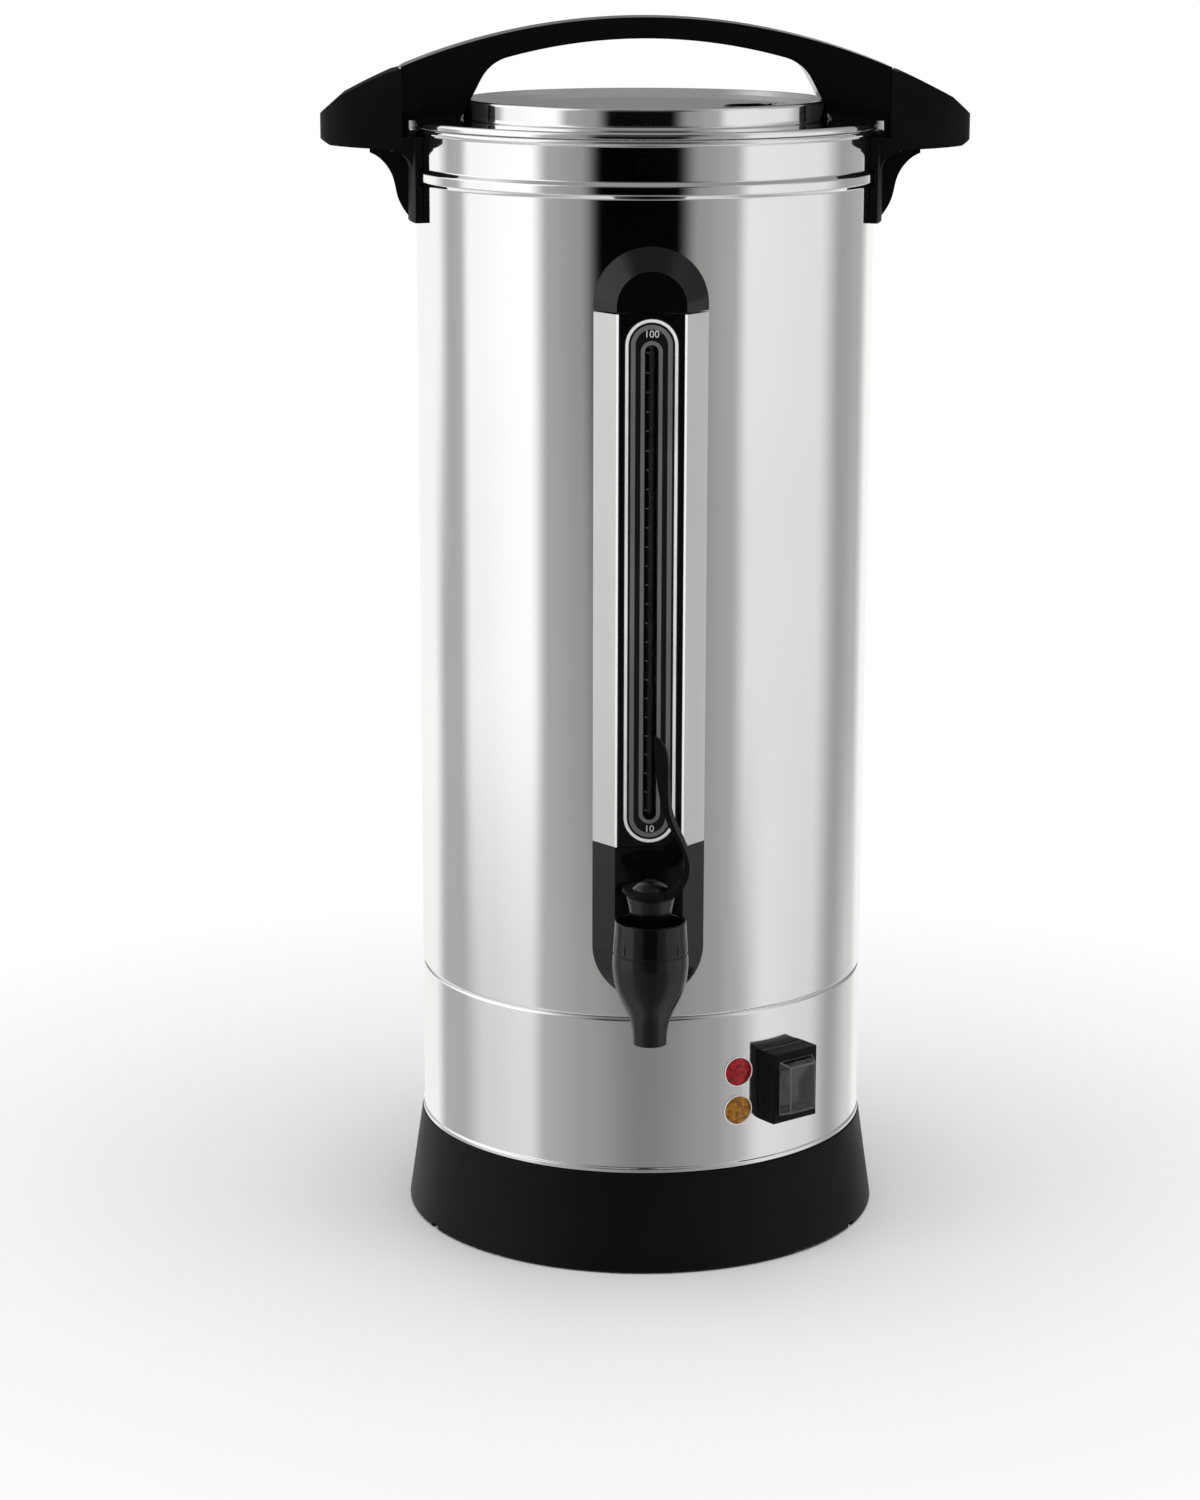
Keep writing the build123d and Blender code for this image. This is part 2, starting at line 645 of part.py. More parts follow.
def control(azimuth):
    """Disc thermostat against the tank's floor, with two blades."""
    low = SEAM_Z - CONTROL_H
    body = disc(CONTROL_R, low, SEAM_Z) + disc(CONTROL_R + 1.6, SEAM_Z - CONTROL_CAP_T, SEAM_Z)
    for x in (-BLADE_X, BLADE_X):
        body += Pos(x, 0, low - BLADE_H) * extrude(Rectangle(0.8, 4.0), BLADE_H)
    return around(azimuth, CONTROL_PLACE_R) * body


def lead(points):
    """Insulated lead along a path with equal bends."""
    path = FilletPolyline(*points, radius=LEAD_BEND)
    start = Plane(origin=path @ 0, z_dir=path % 0)
    return sweep(start * Circle(LEAD_R), path=path)


def rung(count):
    """Height of a level at which leads run, counted from the lowest."""
    return BASE_H - LEAD_DROP + count * LEAD_STEP


def drop(top_point, level):
    """The two upper points of a lead that hangs from a blade to its level."""
    return [top_point, (top_point[0], top_point[1], rung(level))]


def from_wall(plane, x, y, run, level):
    """Points of a lead that leaves a wall part inwards and then drops to its level."""
    first = plane.from_local_coords((x, y, TAIL_D))
    second = plane.from_local_coords((x, y, TAIL_D - run))
    return [tuple(first), tuple(second), (second.X, second.Y, rung(level))]


def blade_end(azimuth, side):
    """Lower end of a control's blade, where its lead starts."""
    place = around(azimuth, CONTROL_PLACE_R) * Pos(side * BLADE_X, 0, SEAM_Z - CONTROL_H - BLADE_H)
    return tuple(place.position)


def make_wiring():
    inlet = wall_plane(INLET_AZIMUTH, INLET_Z)
    switch = wall_plane(SWITCH_AZIMUTH, SWITCH_Z)
    live = from_wall(inlet, PIN_X, 0, 14, 1)
    neutral = from_wall(inlet, -PIN_X, 0, 14, 0)
    switch_in = from_wall(switch, -TERMINAL_X, TERMINAL_Y, 12, 1)
    switch_out = from_wall(switch, TERMINAL_X, -TERMINAL_Y, 12, 2)
    tab = (-BAND_IN_R - BAND_T / 2, TAB_Y, WELL_Z - TAB_DROP)
    runs = [
        live + switch_in[::-1],
        switch_out + drop(blade_end(90, -1), 2)[::-1],
        drop(blade_end(90, 1), 4) + drop(blade_end(180, -1), 4)[::-1],
        drop(blade_end(180, 1), 5) + drop((-LEG_X, LEG_Y, LEG_END_Z), 3)[::-1],
        neutral + drop((LEG_X, LEG_Y, LEG_END_Z), 0)[::-1],
        drop(blade_end(270, -1), 7) + drop(tab, 7)[::-1],
    ]
    return group([lead(run) for run in runs])


# ---------------------------------------------------------------- inlet, lamps and switch


def make_inlet():
    """Appliance inlet in a block that seats on the round skirt."""
    plane = wall_plane(INLET_AZIMUTH, INLET_Z)
    face = RectangleRounded(2 * INLET_HALF_W, 2 * INLET_HALF_H, 4)
    inlet = plane * Pos(0, 0, ROOT_D) * extrude(face, INLET_FRONT - ROOT_D)
    inlet -= body_room()
    back = INLET_FLOOR - INLET_PROUD
    inlet += block(plane, INLET_BODY_W, INLET_BODY_H, back, INLET_FRONT - 1)
    socket = extrude(RectangleRounded(SOCKET_W, SOCKET_H, 2), 2 * SOCKET_DEPTH)
    inlet -= plane * Pos(0, 0, INLET_FLOOR) * socket
    for x in (-PIN_X, 0, PIN_X):
        inlet -= block(plane, PIN_HALF_W, PIN_HALF_H, 0, INLET_FRONT, (x, 0))
    for x in (-INLET_SCREW_X, INLET_SCREW_X):
        inlet -= peg(plane, SCREW_R + RUNNING, 0, WALL_OUT, (x, 0))
    return inlet


def make_inlet_pins():
    plane = wall_plane(INLET_AZIMUTH, INLET_Z)
    pin = block(plane, PIN_HALF_W, PIN_HALF_H, TAIL_D, BODY_R)
    return group([Pos(x, 0) * pin for x in (-PIN_X, 0, PIN_X)])


def inlet_screws():
    """Screws that hold the inlet on the skirt."""
    plane = wall_plane(INLET_AZIMUTH, INLET_Z)
    screws = []
    for x in (-INLET_SCREW_X, INLET_SCREW_X):
        screw = peg(plane, SCREW_R, BODY_R - 10, INLET_FRONT, (x, 0))
        screw += peg(plane, SCREW_HEAD_R, INLET_FRONT, INLET_FRONT + SCREW_HEAD_H, (x, 0))
        screws.append(screw)
    return screws


def lamp_plane(name):
    return wall_plane(LAMP_AZIMUTH, LAMP_HEIGHTS[name])


def make_lens(name):
    """Round lens with a low dome."""
    top = BODY_R + LAMP_PROUD + LAMP_RISE
    ball_r = (LAMP_R**2 + LAMP_RISE**2) / (2 * LAMP_RISE)
    lens = peg(lamp_plane(name), LAMP_R, LAMP_SEAT_D, top)
    return lens & (lamp_plane(name) * Pos(0, 0, top - ball_r) * Sphere(ball_r))


def make_lamp_bezels():
    bezels = []
    for name in LAMP_HEIGHTS:
        plane = lamp_plane(name)
        outer = peg(plane, LAMP_R + LAMP_BEZEL_W, ROOT_D, BODY_R + LAMP_PROUD + RUNNING)
        bezels.append(outer - peg(plane, LAMP_R + SNUG, WALL_IN, WALL_OUT) - body_room())
    return group(bezels)


def make_lamp_bodies():
    bodies = []
    for name in LAMP_HEIGHTS:
        body = peg(lamp_plane(name), LAMP_BODY_R, CASE_BACK, LAMP_SEAT_D)
        for y in (-2.5, 2.5):
            body += block(lamp_plane(name), 1.5, 0.4, TAIL_D, CASE_BACK, (0, y))
        bodies.append(body)
    return group(bodies)


def make_lamp_nuts():
    nuts = []
    for name in LAMP_HEIGHTS:
        nut = hexagon(LAMP_NUT_FLATS, LAMP_BODY_R + SNUG, LAMP_NUT_T)
        seat = sqrt((BODY_R - SHEET) ** 2 - LAMP_NUT_FLATS**2 / 3) - RUNNING
        nuts.append(lamp_plane(name) * Pos(0, 0, seat - LAMP_NUT_T) * nut)
    return group(nuts)


def make_switch_housing():
    """Black block on the skirt, bevelled at its upright front edges."""
    plane = wall_plane(SWITCH_AZIMUTH, SWITCH_Z)
    half = SWITCH_HALF_W
    plan = outline([
        (-half, ROOT_D),
        (half, ROOT_D),
        (half, SWITCH_FRONT - SWITCH_BEVEL),
        (half - SWITCH_BEVEL, SWITCH_FRONT),
        (SWITCH_BEVEL - half, SWITCH_FRONT),
        (-half, SWITCH_FRONT - SWITCH_BEVEL),
    ])
    upright = Plane(origin=(0, 0, SWITCH_Z), x_dir=plane.x_dir, z_dir=(0, 0, -1))
    housing = upright * extrude(plan, SWITCH_HALF_H, both=True)
    housing -= body_room()
    return housing - block(plane, CASE_HALF_W + RUNNING, CASE_HALF_H + RUNNING, WALL_IN, WALL_OUT)


def axle_plane():
    """Plane at the rocker's axle: x up, y outwards, z along the axle."""
    plane = wall_plane(SWITCH_AZIMUTH, SWITCH_Z)
    middle = plane.from_local_coords((0, 0, PIVOT_D))
    return Plane(origin=middle, x_dir=plane.y_dir, z_dir=plane.x_dir)


def axle(radius, half_length):
    return extrude(Circle(radius), half_length, both=True)


def terminal(place):
    """Blade of the switch."""
    plane = wall_plane(SWITCH_AZIMUTH, SWITCH_Z)
    return block(plane, 0.4, 3.0, TAIL_D, CASE_BACK + 4, place)


def make_switch_case():
    plane = wall_plane(SWITCH_AZIMUTH, SWITCH_Z)
    case = block(plane, CASE_HALF_W, CASE_HALF_H, CASE_BACK, CASE_FRONT)
    pocket_h = CASE_HALF_H - CASE_RIM / 2
    case -= block(plane, ROCKER_HALF_W + LOOSE, pocket_h, PIVOT_D - 6, SWITCH_FRONT)
    case -= axle_plane() * axle(PIVOT_R + SNUG, ROCKER_HALF_W + PIVOT_L + RUNNING)
    for place in TERMINALS:
        case -= terminal(place)
    return case


def make_rocker():
    """Rocker with two facets and stub pins, tilted to its off position."""
    side = outline([
        (-4, -3),
        (4, -3),
        (ROCKER_HALF_H, 4.8),
        (ROCKER_HALF_H, 6.5),
        (0, 4.4),
        (-ROCKER_HALF_H, 6.5),
        (-ROCKER_HALF_H, 4.8),
    ])
    rocker = extrude(side, ROCKER_HALF_W, both=True)
    rocker += axle(PIVOT_R, ROCKER_HALF_W + PIVOT_L)
    return axle_plane() * Rot(0, 0, ROCKER_TILT) * rocker


def cover_block(wall):
    """The splash cover's tapered block from its foot at z 0, with its sides and top moved inwards."""
    half_w = CASE_HALF_W + RUNNING + COVER_WALL - wall
    half_h = CASE_HALF_H + RUNNING + COVER_WALL - wall
    foot_face = Rectangle(2 * half_w, 2 * half_h)
    top_face = Rectangle(2 * (half_w - COVER_DRAFT_X), 2 * (half_h - COVER_DRAFT_Y))
    return loft([foot_face, Pos(0, 0, COVER_PROUD - wall) * top_face], ruled=True)


def make_switch_cover():
    """Clear splash cover over the rocker."""
    plane = wall_plane(SWITCH_AZIMUTH, SWITCH_Z)
    return plane * Pos(0, 0, SWITCH_FRONT) * (cover_block(0) - cover_block(COVER_WALL))


# ---------------------------------------------------------------- ears


def arc_drop(radius, x):
    """How far an arc with its highest point at the middle has come down at x."""
    return radius - sqrt(radius**2 - x**2)


def arc_radius(half_span, rise):
    return (half_span**2 + rise**2) / (2 * rise)


ARCH_TOP_R = arc_radius(NOSE_X, ARCH_APEX - NOSE_Z)


def arch_height(x):
    """Height of the arch's top above x."""
    return ARCH_APEX - arc_drop(ARCH_TOP_R, x)


def ear_profile():
    """Side view of the right ear: the arch's arc on top, the nose, and the underside."""
    way = (ROOT_D + NOSE_X) / 2
    top = ThreePointArc((ROOT_D, arch_height(ROOT_D)), (way, arch_height(way)), (NOSE_X, NOSE_Z))
    rest = Polyline(
        (NOSE_X, NOSE_Z),
        (EAR_END_X, NOSE_Z - EAR_NOSE_DROP),
        (EAR_END_X, EAR_SHOULDER_Z - EAR_TIP_DROP),
        (EAR_END_X - EAR_CHIN, EAR_SHOULDER_Z - EAR_CHIN_DROP),
        (ROOT_D, EAR_UNDER_Z),
        (ROOT_D, arch_height(ROOT_D)),
    )
    return make_face([top, rest])


def bevelled_stock():
    """Ring about the arch's centre whose outer edges carry the bevel of the ears."""
    low = ARCH_TOP_R - BEVEL_H
    section = outline([
        (-EAR_HALF, low / 2),
        (EAR_HALF, low / 2),
        (EAR_HALF, low),
        (EAR_HALF - BEVEL_D, ARCH_TOP_R),
        (BEVEL_D - EAR_HALF, ARCH_TOP_R),
        (-EAR_HALF, low),
    ])
    return Pos(0, 0, ARCH_APEX - ARCH_TOP_R) * revolve(Plane.YZ * section, Axis.Y)


def ear_plan():
    """Plan of the right ear, as a column from below the mount plate to above the arch."""
    plan = outline([
        (ROOT_D / 2, -EAR_HALF),
        (EAR_END_X, -EAR_HALF, EAR_ROUND),
        (EAR_END_X, EAR_HALF, EAR_ROUND),
        (ROOT_D / 2, EAR_HALF),
    ])
    return Pos(0, 0, MOUNT_LOW_Z - 10) * extrude(plan, STOCK_H)


def mount_wedge():
    """Sector that the mount plate fills."""
    far = EAR_END_X
    spread = far * tan(radians(MOUNT_WRAP))
    face = outline([(0, 0), (far, -spread), (far, spread)])
    return Pos(0, 0, MOUNT_LOW_Z - 10) * extrude(face, STOCK_H)


def ear_blend():
    """Fillet between the ear's underside and the mount plate."""
    edge = MOUNT_OUT_R + EAR_BLEND
    low = EAR_UNDER_Z - EAR_BLEND
    middle = (edge - EAR_BLEND * cos(radians(45)), low + EAR_BLEND * sin(radians(45)))
    face = make_face([
        ThreePointArc((MOUNT_OUT_R, low), middle, (edge, EAR_UNDER_Z)),
        Polyline(
            (edge, EAR_UNDER_Z),
            (edge, EAR_UNDER_Z + 1),
            (MOUNT_OUT_R - 1, EAR_UNDER_Z + 1),
            (MOUNT_OUT_R - 1, low),
            (MOUNT_OUT_R, low),
        ),
    ])
    return revolve(Plane.XZ * face, Axis.Z) & ear_plan()


def ear_web():
    """Web under the ear: its outer edge runs in an S from the ear down to the tank."""
    foot = (BODY_R + RUNNING, MOUNT_LOW_Z - 2.2)
    head = (BODY_R + 22.0, EAR_UNDER_Z - 1.6)
    edge = Spline(
        head,
        (BODY_R + 14.0, EAR_UNDER_Z - 7.8),
        (BODY_R + 10.8, EAR_UNDER_Z - 14.0),
        (BODY_R + 9.0, EAR_UNDER_Z - 22.0),
        (BODY_R + 4.6, EAR_UNDER_Z - 30.5),
        foot,
    )
    top = EAR_UNDER_Z + 2
    side = Polyline(foot, (ROOT_D, foot[1]), (ROOT_D, top), (head[0], top), head)
    return extrude(Plane.XZ * make_face([edge, side]), WEB_HALF, both=True)


def make_ear():
    """Right bracket: ear block, mount plate that wraps the tank, and the web under the ear."""
    ear = extrude(Plane.XZ * ear_profile(), EAR_HALF, both=True) & ear_plan()
    ear &= bevelled_stock()
    plate = ring(ROOT_D, MOUNT_OUT_R, MOUNT_LOW_Z, EAR_SHOULDER_Z) & mount_wedge()
    ear = ear + plate + ear_blend() + ear_web()
    inner = 2 * (ARCH_END_R + EAR_GAP)
    ear -= Pos(0, 0, EAR_SHOULDER_Z) * extrude(Rectangle(inner, inner), STOCK_H)
    ear -= body_room()
    ear -= disc(BODY_R + BEAD_OUT + LOOSE, BEAD_Z - LOOSE, BEAD_Z + BEAD_H + LOOSE)
    for plane, middle in ear_screw_places():
        ear -= peg(plane, SCREW_R + RUNNING, WALL_IN, TANK_SCREW_TIP + TIP_ROOM, middle)
    return ear


# ---------------------------------------------------------------- level gauge


def column_half(distance):
    """Half width of the column at a distance from the axis."""
    wall = sqrt(BODY_R**2 - BODY_HALF**2)
    share = (COLUMN_FRONT - distance) / (COLUMN_FRONT - wall)
    return FRONT_HALF + share * (BODY_HALF - FRONT_HALF)


def column(low, high, inset=0.0, front=COLUMN_FRONT):
    """Straight stretch of the column between two heights."""
    plan = outline([
        (-column_half(ROOT_D) + inset, -ROOT_D),
        (-column_half(front) + inset, -front),
        (column_half(front) - inset, -front),
        (column_half(ROOT_D) - inset, -ROOT_D),
    ])
    return Pos(0, 0, low) * extrude(plan, high - low)


def column_end(height, up):
    """Rounded end of the column: a half ellipse at the back narrows to a half circle in front."""
    slope = (BODY_HALF - FRONT_HALF) / COLUMN_PROUD
    back_height = FRONT_HALF + slope * (COLUMN_FRONT - ROOT_D)
    turn = 0 if up else 180
    faces = []
    for distance, across, along in (
        (ROOT_D, column_half(ROOT_D), back_height),
        (COLUMN_FRONT, FRONT_HALF, FRONT_HALF),
    ):
        arc = EllipticalCenterArc((0, 0), across, along, 0, arc_size=180)
        half = make_face([arc, Line(arc @ 1, arc @ 0)])
        plane = Plane(origin=(0, -distance, height), x_dir=(1, 0, 0), z_dir=(0, -1, 0))
        faces.append(plane * Rot(0, 0, turn) * half)
    return loft(faces, ruled=True)


def stadium(half_w, low, high):
    """Upright stadium face, drawn with y as height."""
    return Pos(0, (low + high) / 2) * Rot(0, 0, 90) * SlotOverall(high - low, 2 * half_w)


def front_plate(face, low, high):
    """Face in the XZ plane thickened between two distances from the axis, at the front."""
    plane = Plane(origin=(0, -low, 0), x_dir=(1, 0, 0), z_dir=(0, -1, 0))
    return plane * extrude(face, high - low)


def make_gauge_cover():
    """Steel channel: two facets and a recessed web behind the front plate."""
    cover = column(COVER_LOW_Z, COVER_HIGH_Z)
    web_back = COLUMN_FRONT - PANEL_T - WEB_T
    cover -= column(COVER_LOW_Z - 1, COVER_HIGH_Z + 1, COVER_T, web_back)
    recess = Rectangle(2 * (PANEL_HALF + PANEL_GAP), COVER_H + 2)
    recess = Pos(0, (COVER_LOW_Z + COVER_HIGH_Z) / 2) * recess
    cover -= front_plate(recess, COLUMN_FRONT - PANEL_T, COLUMN_FRONT + 2)
    cover -= front_plate(trough_face(LOOSE), BODY_R, WALL_OUT)
    return cover - body_room()


def make_gauge_panel():
    face = Pos(0, (COVER_LOW_Z + COVER_HIGH_Z) / 2) * Rectangle(2 * PANEL_HALF, COVER_H)
    face -= stadium(BEZEL_HALF + SNUG, BEZEL_LOW_Z - SNUG, BEZEL_HIGH_Z + SNUG)
    return front_plate(face, COLUMN_FRONT - PANEL_T, COLUMN_FRONT)


def make_gauge_bezel():
    face = stadium(BEZEL_HALF, BEZEL_LOW_Z, BEZEL_HIGH_Z)
    face -= stadium(BEZEL_HALF - BEZEL_W, BEZEL_LOW_Z + BEZEL_W, BEZEL_HIGH_Z - BEZEL_W)
    return front_plate(face, COLUMN_FRONT - PANEL_T, COLUMN_FRONT + BEZEL_PROUD)


def trough_face(room):
    """Outline of the trough behind the slot, with some room round it."""
    out = TROUGH_WALL + room
    return stadium(SLOT_HALF + out, SLOT_LOW_Z - out, SLOT_HIGH_Z + out)


def make_scale_plate():
    """Front plate of the scale with the slot, and the trough behind the slot."""
    inset = BEZEL_W + SNUG
    face = stadium(BEZEL_HALF - inset, BEZEL_LOW_Z + inset, BEZEL_HIGH_Z - inset)
    slot = stadium(SLOT_HALF, SLOT_LOW_Z, SLOT_HIGH_Z)
    plate = front_plate(face - slot, COLUMN_FRONT - PANEL_T, COLUMN_FRONT - SCALE_RECESS)
    trough_floor = TUBE_D - TUBE_R - WALL_GAP
    trough = front_plate(trough_face(0), trough_floor - TROUGH_WALL, COLUMN_FRONT - PANEL_T)
    trough -= front_plate(slot, trough_floor, COLUMN_FRONT)
    return plate + trough - tube_bore(TUBE_R + WALL_GAP, BEZEL_LOW_Z, BEZEL_HIGH_Z)


def tube_bore(radius, low, high):
    return Pos(0, -TUBE_D) * disc(radius, low, high)


def make_gauge_tube():
    return tube_bore(TUBE_R, TUBE_LOW_Z, TUBE_HIGH_Z) - tube_bore(
        TUBE_R - TUBE_WALL, TUBE_LOW_Z, TUBE_HIGH_Z
    )


def make_gauge_seals():
    seals = []
    for low, high in ((TUBE_LOW_Z, TUBE_LOW_Z + SEAL_H), (TUBE_HIGH_Z - SEAL_H, TUBE_HIGH_Z)):
        seals.append(tube_bore(TUBE_R + SEAL_T, low, high) - tube_bore(TUBE_R, low, high))
    return group(seals)


def seated(part):
    """Column end with its seat on the tank and the holes for its screws."""
    part -= body_room()
    for plane, middle in gauge_screw_places():
        part -= peg(plane, SCREW_R + RUNNING, WALL_IN, TANK_SCREW_TIP + TIP_ROOM, middle)
    return part


def make_gauge_cap():
    """Upper end of the column, with the bore that holds the glass tube."""
    low = COVER_HIGH_Z + CAP_GAP
    cap = column(low, CAP_END_Z) + column_end(CAP_END_Z, True)
    cap -= tube_bore(TUBE_R + SEAL_T, low - 1, TUBE_HIGH_Z)
    return seated(cap)


def make_gauge_block():
    """Lower end of the column: it carries the tap's shank and the foot of the glass tube."""
    foot = column(BLOCK_END_Z, COVER_LOW_Z) + column_end(BLOCK_END_Z, False)
    foot -= peg(wall_plane(0, SHANK_Z), SHANK_R + LOOSE, WALL_IN, WALL_OUT)
    foot -= tube_bore(TUBE_R + SEAL_T, TUBE_LOW_Z, COVER_LOW_Z + 1)
    foot -= tube_bore(TUBE_R - TUBE_WALL, SHANK_Z, TUBE_LOW_Z + 1)
    return seated(foot)


# ---------------------------------------------------------------- screws from inside the tank


def ear_screw_places():
    """Each ear screw's wall plane and its place on the plane."""
    return [(wall_plane(a, height), (0, 0)) for a in (90, -90) for height in EAR_SCREW_HEIGHTS]


def gauge_screw_places():
    """The same for the screws of the gauge's two ends."""
    across = (-GAUGE_SCREW_X, GAUGE_SCREW_X)
    return [(wall_plane(0, height), (x, 0)) for height in GAUGE_SCREW_HEIGHTS for x in across]


def make_tank_screws():
    screws = []
    for plane, middle in ear_screw_places() + gauge_screw_places():
        far = abs(middle[0]) + SCREW_HEAD_R
        seat = sqrt((BODY_R - SHEET) ** 2 - far**2) - RUNNING
        screw = peg(plane, SCREW_R, seat, TANK_SCREW_TIP, middle)
        screws.append(screw + peg(plane, SCREW_HEAD_R, seat - SCREW_HEAD_H, seat, middle))
    return group(screws)


# ---------------------------------------------------------------- tap


def bulb_face():
    """Half section of the tap's bulb and spout, filled in."""
    curve = Spline(
        (SPOUT_R, SPOUT_Z),
        (SPOUT_R + 0.25, SPOUT_Z + 5.4),
        (SPOUT_R + 0.95, SPOUT_Z + 9.4),
        (SPOUT_R + 2.6, SPOUT_Z + 14.4),
        (BULB_R - 4.3, SHANK_Z - 16.0),
        (BULB_R - 2.0, SHANK_Z - 10.8),
        (BULB_R - 0.6, SHANK_Z - 5.5),
        (BULB_R + 0.2, SHANK_Z + 1.5),
        (BULB_R, COLLAR_LOW_Z),
        tangents=[(0, 1), (-0.05, 1)],
    )
    rest = Polyline((BULB_R, COLLAR_LOW_Z), (0, COLLAR_LOW_Z), (0, SPOUT_Z), (SPOUT_R, SPOUT_Z))
    return make_face([curve, rest])


def make_tap_body():
    """Bulb with a spout below, an open top for the bonnet, and a shank to the tank."""
    bulb = revolve(Plane.XZ * bulb_face(), Axis.Z)
    chamber = turned([
        (0, SEAT_Z),
        (PLUG_R + 1.0, SEAT_Z),
        (CHAMBER_R - 2.0, SEAT_Z + 7.0, 4),
        (CHAMBER_R, SEAT_Z + 17.0, 6),
        (CHAMBER_R, COLLAR_LOW_Z + 1),
        (0, COLLAR_LOW_Z + 1),
    ])
    root = BULB_R / 2
    shank = Plane(origin=(0, root, SHANK_Z), x_dir=(1, 0, 0), z_dir=(0, 1, 0))
    reach = -TAP_Y - SHANK_END_D - root
    body = bulb + shank * extrude(Circle(SHANK_R), reach)
    body += shank * extrude(Circle(SHOULDER_R), TAP_REACH - root - RUNNING)
    body -= chamber
    body -= disc(OUTLET_R, SPOUT_Z - 1, SEAT_Z + 1)
    body -= shank * extrude(Circle(SHANK_BORE), reach)
    body -= Pos(0, -TAP_Y - TUBE_D) * disc(TUBE_R - TUBE_WALL, SHANK_Z, SHANK_Z + 2 * SHANK_R)
    return Pos(0, TAP_Y) * body


def make_collar():
    """Ribbed ring nut on top of the bulb."""
    hold_z = COLLAR_LOW_Z + BONNET_FLANGE_T
    hold_r = BONNET_FLANGE_R - 3.5
    collar = turned([
        (BONNET_FLANGE_R + RUNNING, COLLAR_LOW_Z),
        (COLLAR_R, COLLAR_LOW_Z, 0.3),
        (COLLAR_TOP_R, COLLAR_TOP_Z, 0.6),
        (COLLAR_TOP_R - COLLAR_LIP, COLLAR_TOP_Z, 0.6),
        (COLLAR_TOP_R - COLLAR_LIP - 1.0, hold_z + 4),
        (hold_r, hold_z + 1.5),
        (hold_r, hold_z),
        (BONNET_FLANGE_R + RUNNING, hold_z),
    ])
    for i in range(RIB_COUNT):
        groove = Pos(COLLAR_R + 0.5, 0, COLLAR_LOW_Z + 1) * extrude(Rectangle(2, 0.6), COLLAR_H)
        collar -= Rot(0, 0, 360 / RIB_COUNT * (i + 0.5)) * groove
    return Pos(0, TAP_Y) * collar


def make_bonnet():
    """Fixed neck that guides the stem, clamped by the collar."""
    flange_top = COLLAR_LOW_Z + BONNET_FLANGE_T
    bonnet = turned([
        (STEM_R + RUNNING, COLLAR_LOW_Z),
        (BONNET_FLANGE_R, COLLAR_LOW_Z),
        (BONNET_FLANGE_R, flange_top),
        (NECK_CORE_R, flange_top),
        (NECK_CORE_R, NECK_LOW_Z - 2, 0.8),
        (NECK_LOW_R, NECK_LOW_Z),
        (NECK_TOP_R, NECK_TOP_Z, 0.5),
        (STEM_R + RUNNING, NECK_TOP_Z),
    ])
    return Pos(0, TAP_Y) * bonnet


def make_stem():
    """Valve stem: a ball in the button's hollow, a thin neck under it and a flange on the plug."""
    stem = disc(STEM_R, SEAT_Z + 2, NECK_TOP_Z - TIP_ROOM) + disc(BALL_NECK_R, SEAT_Z + 2, BALL_Z)
    stem += Pos(0, 0, BALL_Z) * Sphere(BALL_R)
    stem += disc(STEM_FLANGE_R, PLUG_TOP_Z, PLUG_TOP_Z + STEM_FLANGE_T)
    return Pos(0, TAP_Y) * stem


def make_plug():
    """Silicone plug that closes the outlet."""
    plug = turned([
        (0, SEAT_Z),
        (PLUG_R - 1.0, SEAT_Z, 0.5),
        (PLUG_R, SEAT_Z + 3, 1),
        (PLUG_R - 1.7, PLUG_TOP_Z, 0.8),
        (0, PLUG_TOP_Z),
    ])
    return Pos(0, TAP_Y) * (plug - disc(STEM_R, SEAT_Z + 2, PLUG_TOP_Z + 1))


def make_spring():
    """Closing spring, between the stem's flange and the bonnet."""
    low = PLUG_TOP_Z + STEM_FLANGE_T + SPRING_WIRE_R
    height = COLLAR_LOW_Z - SPRING_WIRE_R - low
    coil = Helix(pitch=height / SPRING_TURNS, height=height, radius=SPRING_R)
    start = Plane(origin=coil @ 0, z_dir=coil % 0)
    return Pos(0, TAP_Y, low) * sweep(start * Circle(SPRING_WIRE_R), path=coil, is_frenet=True)


def make_lever_washer():
    washer = ring(STEM_R + LOOSE, NECK_TOP_R - RUNNING, NECK_TOP_Z, NECK_TOP_Z + WASHER_T)
    return Pos(0, TAP_Y) * washer


def blade_side():
    """Side view of the curled blade: x outwards from the tap's axis, y up, in shares of its height."""
    outer = [
        (0.153, 0), (0.166, 0.015), (0.211, 0.063), (0.246, 0.129), (0.253, 0.195), (0.227, 0.277),
        (0.192, 0.358), (0.152, 0.44), (0.122, 0.538), (0.112, 0.651), (0.11, 0.766), (0.105, 0.847),
        (0.087, 0.927), (0.017, 1),
    ]
    inner = [
        (0.026, 0.847), (0.04, 0.734), (0.058, 0.635), (0.082, 0.538), (0.118, 0.44), (0.166, 0.358),
        (0.201, 0.277), (0.215, 0.211), (0.178, 0.081),
    ]
    outer = [(LEVER_H * x, LEVER_H * y) for x, y in outer]
    inner = [(LEVER_H * x, LEVER_H * y) for x, y in inner] + [(BLADE_HEEL, DISC_T - 0.3)]
    return make_face([
        Spline(*outer),
        Spline(outer[-1], *inner),
        Polyline(inner[-1], (BLADE_HEEL, 0.0), outer[0]),
    ])


def blade_front():
    """Front view of the blade: wide at the disc, narrow at the knee, pointed at the top."""
    half = [
        (LEVER_ROOT_HALF, -2.0),
        (LEVER_ROOT_HALF, 0.07 * LEVER_H, 8),
        (KNEE_HALF, 0.3 * LEVER_H, 14),
        (LEAF_HALF, 0.7 * LEVER_H, 30),
        (0.6, LEVER_H + 1),
    ]
    return outline(half + [(-c[0], *c[1:]) for c in half[::-1]])


